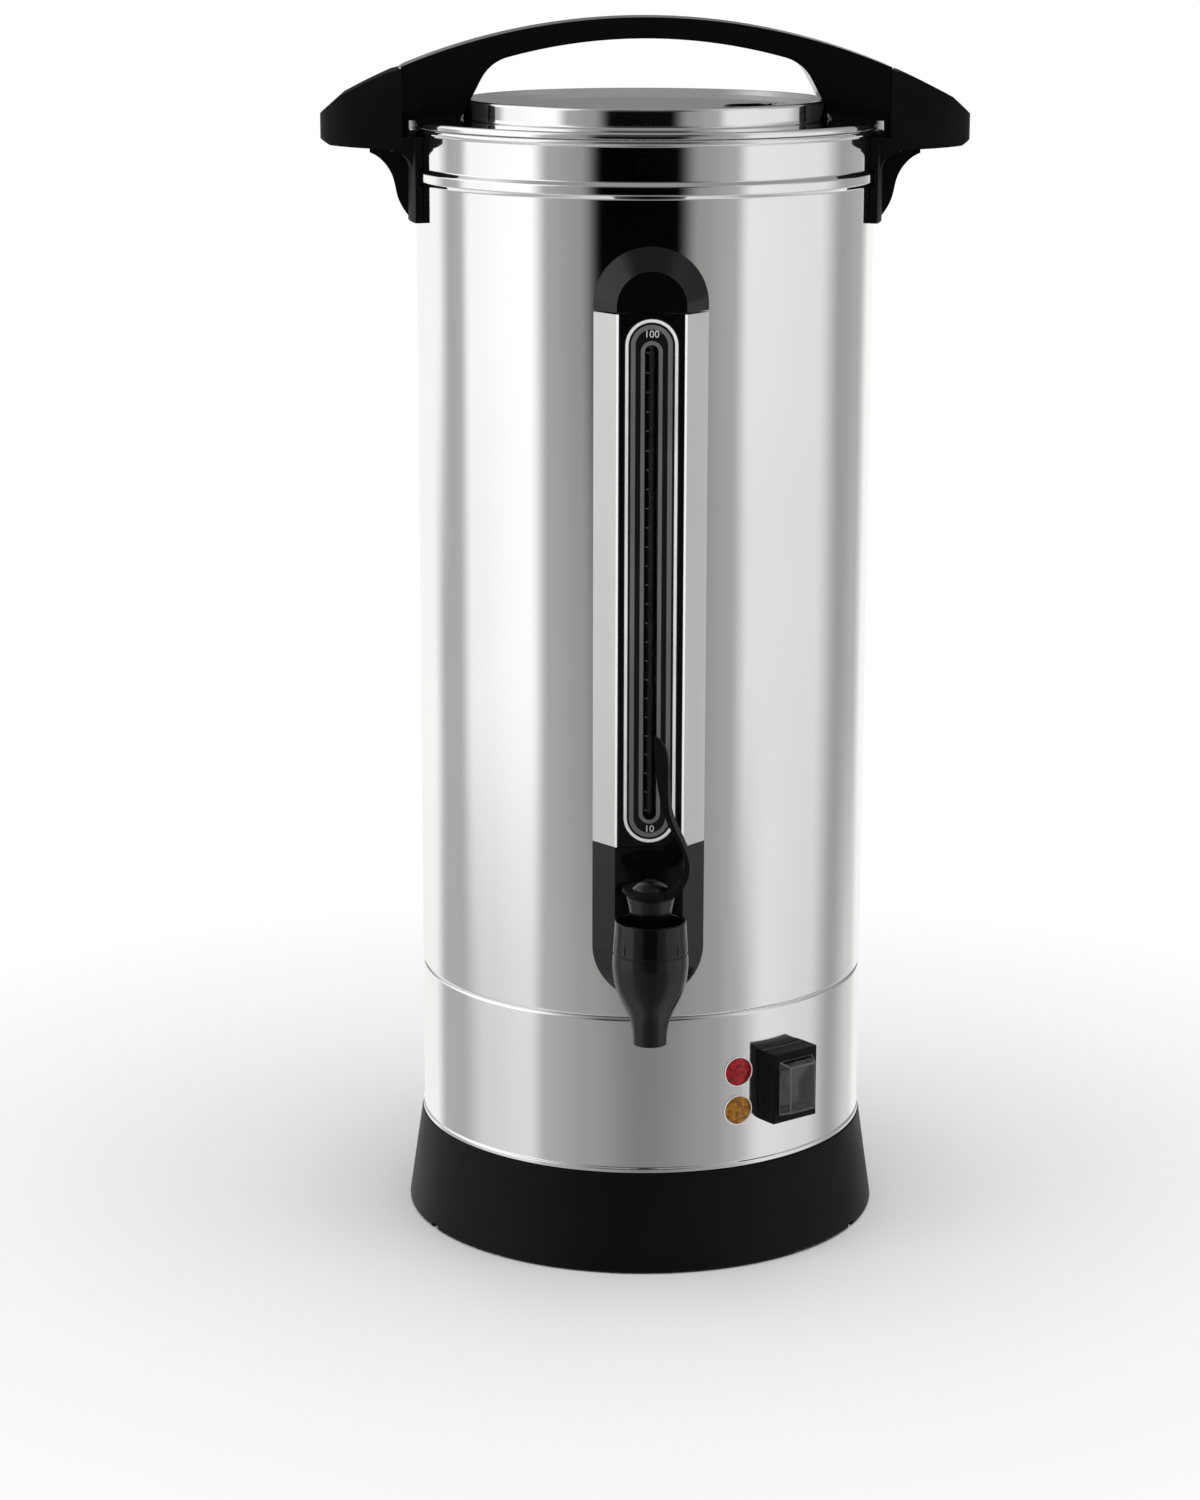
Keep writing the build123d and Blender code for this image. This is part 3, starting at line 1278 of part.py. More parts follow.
def make_lever():
    """Flange disc and curled blade, turned about the tap's axis."""
    blade = extrude(Plane.XZ * blade_side(), LEVER_ROOT_HALF, both=True)
    blade &= extrude(Plane.YZ * blade_front(), 2 * DISC_R)
    blade &= turned([(0, -2), (DISC_R - 0.4, -2), (2 * DISC_R, 6.3), (2 * DISC_R, 80), (0, 80)])
    rim = turned([
        (0, 0),
        (DISC_R - 0.6, 0, 0.3),
        (DISC_R, DISC_T / 2, 0.6),
        (DISC_R - 0.6, DISC_T, 0.3),
        (0, DISC_T),
    ])
    lever = rim + blade
    lever -= disc(DOME_R + SNUG, DISC_T, DISC_T + DOME_H)
    lever -= disc(BALL_POCKET_R, DISC_T - BALL_POCKET, DISC_T)
    slot = SlotCenterToCenter(BALL_SLOT_RUN, 2 * BALL_SLOT_HALF)
    lever -= Pos(-BALL_SLOT_RUN / 2 + RUNNING, 0, -1) * extrude(slot, DISC_T + 1)
    return Pos(0, TAP_Y, DISC_Z) * Rot(0, 0, LEVER_TURN) * lever


def make_button():
    """Domed cap on the lever's disc, hollow for the stem's ball."""
    ball_r = arc_radius(DOME_R, DOME_H)
    dome = disc(DOME_R, 0, DOME_H) & (Pos(0, 0, DOME_H - ball_r) * Sphere(ball_r))
    ceiling = DOME_H - DOME_WALL
    hollow = disc(HOLLOW_R, -1, ceiling) & (Pos(0, 0, ceiling - ball_r) * Sphere(ball_r))
    return Pos(0, TAP_Y, DISC_TOP_Z) * (dome - hollow)


def make_tap_washers():
    """Silicone washer behind the tank's wall, cut to its curve."""
    washer = peg(wall_plane(0, SHANK_Z), GASKET_R, NUT_FRONT_D, BODY_R)
    washer -= peg(wall_plane(0, SHANK_Z), SHANK_R + RUNNING, WALL_IN, WALL_OUT)
    return washer & disc(BODY_R - SHEET - SNUG, 0, TANK_TOP)


def make_tap_nut():
    nut = hexagon(CLAMP_NUT_FLATS, SHANK_R + SNUG, CLAMP_NUT_T)
    return wall_plane(0, SHANK_Z) * Pos(0, 0, NUT_FRONT_D - CLAMP_NUT_T) * nut


# ---------------------------------------------------------------- percolator


def make_pump():
    """Pump tube with its bell foot in the well and the collar that carries the basket."""
    floor = WELL_Z + SHEET
    tube = disc(PUMP_R, floor + 8, PUMP_TOP_Z)
    bell = turned([
        (PUMP_FOOT_R - 1.2, floor),
        (PUMP_FOOT_R, floor),
        (PUMP_FOOT_R, floor + 3, 1),
        (10.0, floor + 11, 4),
        (PUMP_R - 0.5, floor + 18),
        (PUMP_R - 0.5, floor + 16),
        (9.0, floor + 10, 3),
        (PUMP_FOOT_R - 1.2, floor + 2, 0.6),
    ])
    collar = disc(PUMP_COLLAR_R, BASKET_Z - PUMP_COLLAR_T, BASKET_Z)
    pump = tube + bell + collar - disc(PUMP_R - PUMP_WALL, floor, PUMP_TOP_Z + 1)
    for azimuth in range(0, 360, 60):
        pump -= block(wall_plane(azimuth, floor), 3.0, 1.5, PUMP_FOOT_R - 8, PUMP_FOOT_R + 8)
    return pump


def sieve(height, hole_r, rows):
    """Cutters for rings of holes in a thin floor, from rows of (share of the radius, count)."""
    hole = disc(hole_r, height - 1, height + 2)
    return [
        around(360 / count * i, share * BASKET_R) * hole for share, count in rows for i in range(count)
    ]


def make_basket():
    """Wall of the brew basket, with its rim."""
    wall_in = BASKET_R - THIN_SHEET
    wall = ring(wall_in, BASKET_R, BASKET_FLOOR_Z, BASKET_TOP_Z)
    return wall + ring(wall_in, BASKET_R + BASKET_RIM, BASKET_TOP_Z - THIN_SHEET, BASKET_TOP_Z)


def make_basket_floor():
    """Perforated floor that the basket's wall stands on."""
    floor = ring(SLEEVE_IN_R, BASKET_R, BASKET_Z, BASKET_FLOOR_Z)
    return floor - sieve(BASKET_Z, BASKET_HOLE_R, BASKET_SIEVE)


def make_basket_sleeve():
    """Sleeve round the pump tube, on the basket's floor."""
    return ring(SLEEVE_IN_R, SLEEVE_IN_R + SLEEVE_WALL, BASKET_FLOOR_Z, BASKET_TOP_Z - 2)


def make_basket_cover():
    """Spreader plate on the basket's rim."""
    low = BASKET_TOP_Z
    edge = BASKET_R + BASKET_RIM + 1.0
    cover = turned([
        (SLEEVE_IN_R, low),
        (edge, low),
        (edge, low + COVER_HEM),
        (edge - THIN_SHEET, low + COVER_HEM),
        (edge - THIN_SHEET, low + THIN_SHEET),
        (SLEEVE_IN_R + SLEEVE_WALL, low + THIN_SHEET),
        (SLEEVE_IN_R + SLEEVE_WALL, low + COVER_COLLAR_H),
        (SLEEVE_IN_R, low + COVER_COLLAR_H),
    ])
    return cover - sieve(low, COVER_HOLE_R, COVER_SIEVE)


# ---------------------------------------------------------------- lid


def dish_line(drop_by):
    """Arc of the dish from its edge to its middle, lowered by the sheet for its underside."""
    edge = LID_RIM_Z - DISH_EDGE_DROP - drop_by
    ball_r = arc_radius(DISH_R, DISH_DEPTH)
    way = edge - DISH_DEPTH + arc_drop(ball_r, DISH_R / 2)
    return (0, edge - DISH_DEPTH), (DISH_R / 2, way), (DISH_R, edge)


def lid_screw_places():
    return [(x, y) for x in (-LID_SCREW_X, LID_SCREW_X) for y in (-LID_SCREW_Y, LID_SCREW_Y)]


def make_lid():
    """Pressed lid: hemmed edge, flange, raised wall with a rounded rim, and a dish."""
    top_mid, top_way, top_edge = dish_line(0)
    low_mid, low_way, low_edge = dish_line(SHEET)
    rim_in = DISH_R + DISH_EDGE_DROP
    under = FLANGE_Z - SHEET
    inner_wall = LID_WALL_R - SHEET
    outer = [
        top_edge,
        (rim_in, LID_RIM_Z),
        (LID_WALL_R, LID_RIM_Z),
        (LID_WALL_R, FLANGE_Z),
        (LID_EDGE_R, FLANGE_Z),
        (LID_EDGE_R, LID_EDGE_Z),
        (LID_EDGE_R - SHEET, LID_EDGE_Z),
        (LID_EDGE_R - SHEET, under),
        (inner_wall, under),
        (inner_wall, LID_RIM_Z - SHEET),
        (rim_in + 0.3, LID_RIM_Z - SHEET),
        low_edge,
    ]
    rounds = [0.6, 1.5, 1.0, 1.4, 0.3, 0, 0.6, 0.6, 0.7, 0.4]
    face = make_face([
        ThreePointArc(top_mid, top_way, top_edge),
        FilletPolyline(*outer, radius=rounds),
        ThreePointArc(low_edge, low_way, low_mid),
        Line(low_mid, top_mid),
    ])
    lid = revolve(Plane.XZ * face, Axis.Z)
    lid -= Pos(VENT_X, 0) * disc(VENT_R + SNUG, TANK_TOP, ARCH_APEX)
    for x, y in lid_screw_places():
        lid -= Pos(x, y) * disc(SCREW_R + LOOSE, TANK_TOP, FLANGE_Z + 1)
    return lid


def make_vent():
    """Black vent cup in the dish, with slots in its floor."""
    ball_r = arc_radius(DISH_R, DISH_DEPTH)
    dish_low = LID_RIM_Z - DISH_EDGE_DROP - DISH_DEPTH
    rim = dish_low + arc_drop(ball_r, VENT_X)
    floor = rim - VENT_DEPTH
    snap_z = dish_low + arc_drop(ball_r, VENT_X - VENT_R) - SHEET - RUNNING
    cup = disc(VENT_R, floor, rim) - disc(VENT_R - 1.0, floor + 1.0, rim)
    cup += ring(VENT_R - 0.5, VENT_R + 1.2, snap_z - 1.0, snap_z)
    for x in (-7, -3.5, 0, 3.5, 7):
        cup -= Pos(x, 0, floor - 1) * extrude(Rectangle(1.4, VENT_R), 3)
    return Pos(VENT_X, 0) * cup


def arch_face():
    """Front view of the arch: bar on top and two legs."""
    end_x = ARCH_END_R + 6
    end_z = arch_height(end_x)
    under_z = ARCH_APEX - ARCH_T
    corner_z = under_z - ARCH_UNDER_DROP
    face = make_face([
        ThreePointArc((-end_x, end_z), (0, ARCH_APEX), (end_x, end_z)),
        Polyline(
            (end_x, end_z),
            (end_x, ARCH_FOOT_Z),
            (LEG_FOOT_X, ARCH_FOOT_Z),
            (LEG_TOP_X, corner_z),
        ),
        ThreePointArc((LEG_TOP_X, corner_z), (0, under_z), (-LEG_TOP_X, corner_z)),
        Polyline(
            (-LEG_TOP_X, corner_z),
            (-LEG_FOOT_X, ARCH_FOOT_Z),
            (-end_x, ARCH_FOOT_Z),
            (-end_x, end_z),
        ),
    ])
    corners = [v for v in face.vertices() if abs(abs(v.X) - LEG_TOP_X) < 0.1]
    return fillet(corners, LEG_FILLET)


def arch_plan():
    """Plan of the arch: waisted in the middle, wider at the ears."""
    end_x = ARCH_END_R + 6
    return make_face([
        ThreePointArc((-end_x, -ARCH_END), (0, -ARCH_WAIST), (end_x, -ARCH_END)),
        Line((end_x, -ARCH_END), (end_x, ARCH_END)),
        ThreePointArc((end_x, ARCH_END), (0, ARCH_WAIST), (-end_x, ARCH_END)),
        Line((-end_x, ARCH_END), (-end_x, -ARCH_END)),
    ])


def upper_edges(arch):
    """The two long edges of the arch's top."""
    long_edges = [edge for edge in arch.edges() if edge.length > 2 * LEG_TOP_X]
    return [edge for edge in long_edges if edge.bounding_box().max.Z > ARCH_APEX - 1]


def arch_block():
    """The arch with its end caps, filled in."""
    arch = extrude(Plane.XZ * arch_face(), ARCH_END, both=True)
    arch &= Pos(0, 0, MOUNT_LOW_Z) * extrude(arch_plan(), STOCK_H)
    arch = chamfer(upper_edges(arch), BEVEL_H, BEVEL_D)
    return arch & disc(ARCH_END_R, MOUNT_LOW_Z, ARCH_APEX + 1)


def make_arch_caps():
    """Caps under the arch's two ends, outside the lid's edge."""
    return arch_block() & ring(ARCH_CAP_R, ARCH_END_R + 1, MOUNT_LOW_Z, FLANGE_Z)


def make_arch():
    """Arched handle, seated on the lid's flange."""
    arch = arch_block() - disc(ARCH_END_R + 1, MOUNT_LOW_Z, FLANGE_Z)
    arch -= disc(LID_WALL_R + LOOSE, MOUNT_LOW_Z, LID_RIM_Z + LOOSE)
    for x, y in lid_screw_places():
        arch -= Pos(x, y) * disc(SCREW_R + RUNNING, TANK_TOP, FLANGE_Z + LID_SCREW_H + TIP_ROOM)
    return arch


def make_lid_screws():
    under = FLANGE_Z - SHEET
    screw = disc(SCREW_R, under, FLANGE_Z + LID_SCREW_H)
    screw += disc(SCREW_HEAD_R, under - SCREW_HEAD_H, under)
    return group([Pos(x, y) * screw for x, y in lid_screw_places()])


def make_lid_seal():
    """Flat silicone ring that lies on the tank's rim, inside the lid's hem."""
    low = TANK_TOP + RUNNING
    high = FLANGE_Z - SHEET - RUNNING
    outer = LID_EDGE_R - SHEET - SEAL_PLAY
    inner = outer - SEAL_W
    return turned([(inner, low, 0.4), (outer, low, 0.3), (outer, high, 0.3), (inner, high, 0.4)])


# ---------------------------------------------------------------- build


def build():
    keep("tank", make_tank())
    keep("skirt", make_skirt())
    keep("foot_base", make_base())
    keep("bottom_plate", make_bottom_plate())
    keep("rubber_feet", group([place * foot() for place in foot_places()]))
    keep("case_screws", group(base_screws() + inlet_screws()))
    keep("base_studs", make_studs())
    keep("stud_nuts", make_nuts())
    keep("heater_plate", make_heater_plate())
    keep("heating_element", make_element())
    keep("heater_clamp", make_clamp())
    keep("keep_warm_heater", make_keep_warm_heater())
    keep("thermostats", group([control(90), control(270)]))
    keep("thermal_fuse", control(180))
    keep("wiring", make_wiring())
    keep("power_inlet", make_inlet())
    keep("inlet_pins", make_inlet_pins())
    for name in LAMP_HEIGHTS:
        keep(name, make_lens(name))
    keep("lamp_bezels", make_lamp_bezels())
    keep("lamp_bodies", make_lamp_bodies())
    keep("lamp_nuts", make_lamp_nuts())
    keep("switch_housing", make_switch_housing())
    keep("switch_case", make_switch_case())
    keep("switch_terminals", group([terminal(place) for place in TERMINALS]))
    keep("switch_rocker", make_rocker())
    keep("switch_cover", make_switch_cover())
    ear = make_ear()
    keep("side_bracket_right", ear)
    keep("side_bracket_left", mirror(ear, Plane.YZ))
    keep("tank_screws", make_tank_screws())
    keep("gauge_cover", make_gauge_cover())
    keep("gauge_cap", make_gauge_cap())
    keep("gauge_block", make_gauge_block())
    keep("gauge_panel", make_gauge_panel())
    keep("gauge_bezel", make_gauge_bezel())
    keep("gauge_scale_plate", make_scale_plate())
    keep("gauge_tube", make_gauge_tube())
    keep("gauge_seals", make_gauge_seals())
    keep("tap_body", make_tap_body())
    keep("tap_collar", make_collar())
    keep("tap_bonnet", make_bonnet())
    keep("tap_stem", make_stem())
    keep("tap_seat", make_plug())
    keep("tap_spring", make_spring())
    keep("lever_washer", make_lever_washer())
    keep("tap_lever", make_lever())
    keep("tap_button", make_button())
    keep("tap_washers", make_tap_washers())
    keep("tap_nut", make_tap_nut())
    keep("pump_tube", make_pump())
    keep("coffee_basket", make_basket())
    keep("basket_floor", make_basket_floor())
    keep("basket_sleeve", make_basket_sleeve())
    keep("basket_cover", make_basket_cover())
    keep("lid", make_lid())
    keep("lid_vent", make_vent())
    keep("lid_handle", make_arch())
    keep("handle_caps", make_arch_caps())
    keep("lid_screws", make_lid_screws())
    keep("lid_seal", make_lid_seal())


build()
for name, part in NODES.items():
    export_step(part, f"parts/{name}.step")
print(len(NODES), "nodes")
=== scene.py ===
"""Looks of an electric coffee urn, laid out as an add-on and run as a script.

Lengths are in metres in the frame's own axes: the origin is on the floor on the tank's axis, +Z is
up, the tap points to -Y and +X is the side of the switch. Azimuths are in degrees, from the front
towards +X.
"""

import json
from math import asin, atan2, cos, degrees, pi, radians, sin, sqrt

import bmesh
import bpy
from mathutils import Matrix, Vector


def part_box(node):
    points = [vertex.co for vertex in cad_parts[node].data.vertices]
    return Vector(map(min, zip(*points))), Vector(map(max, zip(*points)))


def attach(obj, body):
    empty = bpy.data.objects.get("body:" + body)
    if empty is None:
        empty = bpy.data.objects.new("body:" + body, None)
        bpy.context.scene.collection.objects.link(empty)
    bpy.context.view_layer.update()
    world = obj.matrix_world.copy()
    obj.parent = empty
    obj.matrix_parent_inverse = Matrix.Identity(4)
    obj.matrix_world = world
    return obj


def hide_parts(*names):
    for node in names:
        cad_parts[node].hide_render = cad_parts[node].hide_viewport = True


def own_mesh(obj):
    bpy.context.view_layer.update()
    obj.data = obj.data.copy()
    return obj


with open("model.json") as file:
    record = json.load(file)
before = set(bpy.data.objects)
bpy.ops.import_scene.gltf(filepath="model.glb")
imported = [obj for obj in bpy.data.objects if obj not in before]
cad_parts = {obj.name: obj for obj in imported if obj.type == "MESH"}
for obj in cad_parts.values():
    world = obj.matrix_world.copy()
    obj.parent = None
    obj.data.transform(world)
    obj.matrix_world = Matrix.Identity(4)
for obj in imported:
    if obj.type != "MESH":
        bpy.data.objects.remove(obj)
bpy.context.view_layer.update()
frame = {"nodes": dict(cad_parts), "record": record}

bl_info = {
    "name": "Coffee urn",
    "version": (1, 0, 0),
    "blender": (4, 5, 0),
    "location": "View3D > Sidebar > Urn",
    "description": "Builds the looks of an electric coffee urn round its packed solids",
    "category": "Object",
}

MM = 0.001
MERGE = 0.002 * MM  # points nearer than this are one
SHARP = 30.0  # degrees; an edge that turns more is shaded or rounded as a sharp one
FLAT = 0.4  # degrees; faces that turn less are one flat face
ROUND_STEPS = 64  # of a small round hole or band
ARCH_GAP = 0.2 * MM  # margin that tells the arch's end from the ears' inner walls
NODES = frame["nodes"]
TANK_LOW, TANK_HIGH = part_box("tank")
SKIRT_LOW, SKIRT_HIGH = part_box("skirt")
LID_LOW, LID_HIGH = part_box("lid")
BODY_OF = {
    node: body for body, nodes in frame["record"]["behaviour"]["bodies"].items() for node in nodes
}


# ---------------------------------------------------------------- sizes and colours


def length(name, description, default):
    """Length property in metres."""
    return bpy.props.FloatProperty(
        name=name, description=description, default=default, unit="LENGTH", precision=5
    )


def turn(name, description, default):
    """Angle property, with its default in degrees."""
    return bpy.props.FloatProperty(
        name=name, description=description, default=radians(default), subtype="ANGLE"
    )


def count(name, description, default):
    return bpy.props.IntProperty(name=name, description=description, default=default, min=3)


def tint(name, description, default):
    return bpy.props.FloatVectorProperty(
        name=name, description=description, default=default, size=3, min=0, max=1, subtype="COLOR"
    )


class UrnSizes(bpy.types.PropertyGroup):
    """Sizes of the pressed steel, the small edges and grooves, and the print."""

    rim_out: length("Rim", "How far the rolled rim stands out of the tank", 1.8 * MM)
    rim_radius: length("Rim roll", "Half the height of the rolled rim", 1.6 * MM)
    sheet: length("Sheet", "Steel sheet of the tank, skirt and lid", 0.8 * MM)
    bead_drop: length("Bead drop", "From the tank's top to the underside of its bead", 26.7 * MM)
    bead_height: length("Bead height", "Height of the bead below the mouth", 7.6 * MM)
    seam_round: length("Seam round", "Corner of the tank and skirt at their seam", 1.6 * MM)
    well_radius: length("Well", "Well in the tank's floor", 34.0 * MM)
    hem_proud: length("Hem", "How far the skirt's rolled lower edge stands out", 0.7 * MM)
    hem_height: length("Hem height", "Height of the skirt's rolled edge", 2.0 * MM)
    skirt_flange: length("Skirt flange", "Width of the skirt's inward flanges", 10.0 * MM)
    lid_edge_height: length("Lid edge", "Height of the lid's hemmed edge", 3.0 * MM)
    lid_flange: length("Lid flange", "From the lid's edge to its raised wall", 24.7 * MM)
    lid_rim: length("Lid rim", "From the raised wall to the dish", 5.8 * MM)
    dish_edge_drop: length("Dish edge", "From the lid's top to the dish's edge", 2.3 * MM)
    dish_depth: length("Dish depth", "From the dish's edge to its middle", 2.0 * MM)
    block_half: length("Switch block", "Half width of the switch block", 13.5 * MM)
    block_groove: length("Block groove", "From the skirt to the switch block's groove", 3.4 * MM)
    slot_half: length("Slot", "Half width of the gauge's slot", 3.2 * MM)
    slot_lift: length("Slot lift", "From the scale plate's lower end to the slot", 9.4 * MM)
    slot_drop: length("Slot drop", "From the scale plate's upper end to the slot", 10.2 * MM)
    slot_rim: length("Slot rim", "Printed line round the slot", 1.8 * MM)
    band_width: length("Band", "Printed band along the scale plate's edge", 2.1 * MM)
    turn_steps: count("Steps", "Steps of a full turn of the round steel", 288)
    edge_round: length("Edge round", "Small round along moulded edges", 0.5 * MM)
    vent_lip: length("Vent lip", "How far the vent's flange laps over the lid", 1.15 * MM)
    print_raise: length("Print", "Thickness of the print on the scale", 0.04 * MM)
    number_height: length("Numbers", "Size of the cup numbers", 4.6 * MM)
    mark_gap: length("Mark gap", "From the slot's ends to the first and last level marks", 4.0 * MM)
    mark_width: length("Mark width", "Width of a level mark", 1.5 * MM)
    mark_height: length("Mark height", "Height of a level mark", 0.6 * MM)
    mark_turn: turn("Mark turn", "From the glass's front left to its level marks", 36.0)
    mark_steps: count("Marks", "Steps between the lowest and the highest level mark", 24)
    # Faces of the gauge cover within this depth of its front get a painted highlight: a near-white
    # finish in place of the light off its folded edges.
    highlight_depth: length("Fold", "Depth of the bright folded edges of the gauge's cover", 0.35 * MM)
    tap_groove: length("Tap groove", "Half height of the groove below the tap's collar", 0.35 * MM)
    groove_depth: length("Groove depth", "Depth of the fine grooves", 0.25 * MM)


class UrnColours(bpy.types.PropertyGroup):
    """Colours of the finishes."""

    steel: tint("Steel", "Polished steel", (0.985, 0.98, 0.968))
    satin: tint("Satin steel", "Satin steel of the gauge's facets", (0.8, 0.8, 0.79))
    moulded: tint("Black", "Black moulded plastic", (0.0015, 0.0015, 0.0016))
    print_grey: tint("Print", "Grey print on the scale", (0.1, 0.1, 0.1))
    red: tint("Red", "Red pilot lens", (0.34, 0.003, 0.01))
    amber: tint("Amber", "Amber pilot lens", (0.35, 0.145, 0.009))


class UrnView(bpy.types.PropertyGroup):
    """Place of the camera."""

    distance: length("Distance", "From the tank's axis to the camera, on the floor plan", 1.76024)
    height: length("Height", "Height of the camera", 0.65382)
    azimuth: turn("Azimuth", "Side from which the camera looks", -1.7)
    heading: turn("Heading", "Heading of the view, to the right of +Y", 1.016)
    tilt: turn("Tilt", "How far the view looks down", 13.468)
    roll: turn("Roll", "Turn of the camera about its view", 0.126)
    lens: bpy.props.FloatProperty(
        name="Lens", description="Focal length on a 36 mm sensor", default=86.935, unit="CAMERA"
    )


def sizes():
    return bpy.context.scene.urn_sizes


def colours():
    return bpy.context.scene.urn_colours


# ---------------------------------------------------------------- modelling by hand


def deselect():
    if bpy.context.object and bpy.context.object.mode != "OBJECT":
        bpy.ops.object.mode_set(mode="OBJECT")
    bpy.ops.object.select_all(action="DESELECT")


def take(obj):
    """Makes obj the only selected and the active one."""
    deselect()
    obj.select_set(True)
    bpy.context.view_layer.objects.active = obj
    return obj


def edit(obj, choose="SELECT"):
    take(obj)
    bpy.ops.object.mode_set(mode="EDIT")
    bpy.ops.mesh.select_all(action=choose)


def settle(obj, name):
    """Leaves edit mode, names the piece and puts its place into its mesh."""
    bpy.ops.object.mode_set(mode="OBJECT")
    take(obj)
    obj.name = name
    obj.data.name = name
    bpy.ops.object.transform_apply(location=True, rotation=True, scale=True)
    return obj


def add_modifier(obj, kind, **values):
    take(obj)
    modifier = obj.modifiers.new(kind.title(), kind)
    for key, value in values.items():
        setattr(modifier, key, value)
    bpy.ops.object.modifier_apply(modifier=modifier.name)
    return obj


def smooth(obj):
    take(obj)
    bpy.ops.object.shade_smooth_by_angle(angle=radians(SHARP))
    return obj


def even(obj):
    """Lets the large faces lead the shading across small rounds."""
    return add_modifier(obj, "WEIGHTED_NORMAL", keep_sharp=True)


def clean(obj, distance=MERGE, outwards=True):
    """Merges doubles and, where asked, turns the faces outwards."""
    edit(obj)
    bpy.ops.mesh.remove_doubles(threshold=distance)
    if outwards:
        bpy.ops.mesh.select_all(action="SELECT")
        bpy.ops.mesh.normals_make_consistent(inside=False)
    bpy.ops.object.mode_set(mode="OBJECT")
    return obj


def select_faces(obj, test):
    """Selects the faces whose middle passes the test, in edit mode."""
    bpy.ops.mesh.select_mode(type="FACE")
    bpy.ops.mesh.select_all(action="DESELECT")
    mesh = bmesh.from_edit_mesh(obj.data)
    for face in mesh.faces:
        face.select_set(test(face.calc_center_median()))
    mesh.select_flush_mode()
    bmesh.update_edit_mesh(obj.data)


def rounded(corners, steps=5):
    """Points of an outline from corners (x, y) or (x, y, radius)."""
    points = []
    for i, corner in enumerate(corners):
        here = Vector(corner[:2])
        if len(corner) == 2 or corner[2] <= 0:
            points.append(here)
            continue
        back = (Vector(corners[i - 1][:2]) - here).normalized()
        on = (Vector(corners[(i + 1) % len(corners)][:2]) - here).normalized()
        half = back.angle(on) / 2
        middle = here + (back + on).normalized() * corner[2] / sin(half)
        slope = sin(half) / cos(half)
        start = here + back * corner[2] / slope - middle
        end = here + on * corner[2] / slope - middle
        sweep = start.angle_signed(end)
        for k in range(steps + 1):
            points.append(middle + Matrix.Rotation(-sweep * k / steps, 2) @ start)
    return points


def draw_line(points):
    """A new mesh with one open line: a plane is merged to its first point, then drawn out."""
    deselect()
    bpy.ops.mesh.primitive_plane_add(size=1 * MM, location=points[0])
    line = bpy.context.object
    edit(line)
    bpy.ops.mesh.merge(type="CENTER")
    bpy.ops.mesh.select_mode(type="VERT")
    bpy.ops.mesh.select_all(action="SELECT")
    for before, after in zip(points, points[1:]):
        step = Vector(after) - Vector(before)
        bpy.ops.mesh.extrude_vertices_move(TRANSFORM_OT_translate={"value": step})
    return line


def spun(name, outline, steps, middle=(0.0, 0.0), closed=True):
    """Piece turned about the upright axis through middle, from its (radius, height) outline."""
    points = [(middle[0] + p[0], middle[1], p[1]) for p in outline]
    if closed:
        points.append(points[0])
    piece = draw_line(points)
    bpy.ops.mesh.remove_doubles(threshold=MERGE)
    bpy.ops.mesh.select_all(action="SELECT")
    bpy.ops.mesh.spin(steps=steps, angle=2 * pi, center=(*middle, 0.0), axis=(0, 0, 1))
    settle(piece, name)
    return clean(piece)


def cut(piece, tool):
    """Takes the tool's shape out of the piece and removes the tool."""
    add_modifier(piece, "BOOLEAN", object=tool, operation="DIFFERENCE", solver="EXACT")
    bpy.data.objects.remove(tool)
    return piece


def wall_matrix(azimuth, radius, height):
    """Frame on the round wall: x across, y up and z outwards."""
    turned = Matrix.Rotation(radians(azimuth), 4, "Z")
    upright = Matrix(((1, 0, 0, 0), (0, 0, -1, -radius), (0, 1, 0, height), (0, 0, 0, 1)))
    return turned @ upright


def place(obj, matrix):
    """Puts a piece modelled at the origin to its place, in its mesh."""
    obj.matrix_world = matrix
    take(obj)
    bpy.ops.object.transform_apply(location=True, rotation=True, scale=True)
    return obj


def round_edges(piece, edge, steps=2, wanted=None, slot=-1):
    """Rounds the sharp edges whose middle passes the test; slot picks the new faces' material."""
    edit(piece, "DESELECT")
    bpy.ops.mesh.select_mode(type="EDGE")
    mesh = bmesh.from_edit_mesh(piece.data)
    for line in mesh.edges:
        middle = (line.verts[0].co + line.verts[1].co) / 2
        turned = line.is_manifold and line.calc_face_angle() > radians(SHARP)
        line.select_set(turned and (wanted is None or wanted(middle)))
    bmesh.update_edit_mesh(piece.data)
    bpy.ops.mesh.bevel(
        offset=edge, segments=steps, affect="EDGES", clamp_overlap=True, material=slot
    )
    bpy.ops.object.mode_set(mode="OBJECT")
    return piece


def copied(node, name):
    """Merged copy of a node's mesh with its flat faces whole."""
    piece = bpy.data.objects.new(name, NODES[node].data.copy())
    bpy.context.scene.collection.objects.link(piece)
    piece.data.name = name
    take(piece)
    if piece.data.has_custom_normals:
        bpy.ops.mesh.customdata_custom_splitnormals_clear()
    clean(piece, MERGE / 2, outwards=False)
    edit(piece)
    bpy.ops.mesh.dissolve_limited(angle_limit=radians(FLAT), use_dissolve_boundaries=False)
    bpy.ops.object.mode_set(mode="OBJECT")
    return piece


def refined(node, name, edge, steps=2, wanted=None):
    """Merged copy of a node with its sharp edges rounded."""
    return even(smooth(round_edges(copied(node, name), edge, steps, wanted)))


# ---------------------------------------------------------------- finishes


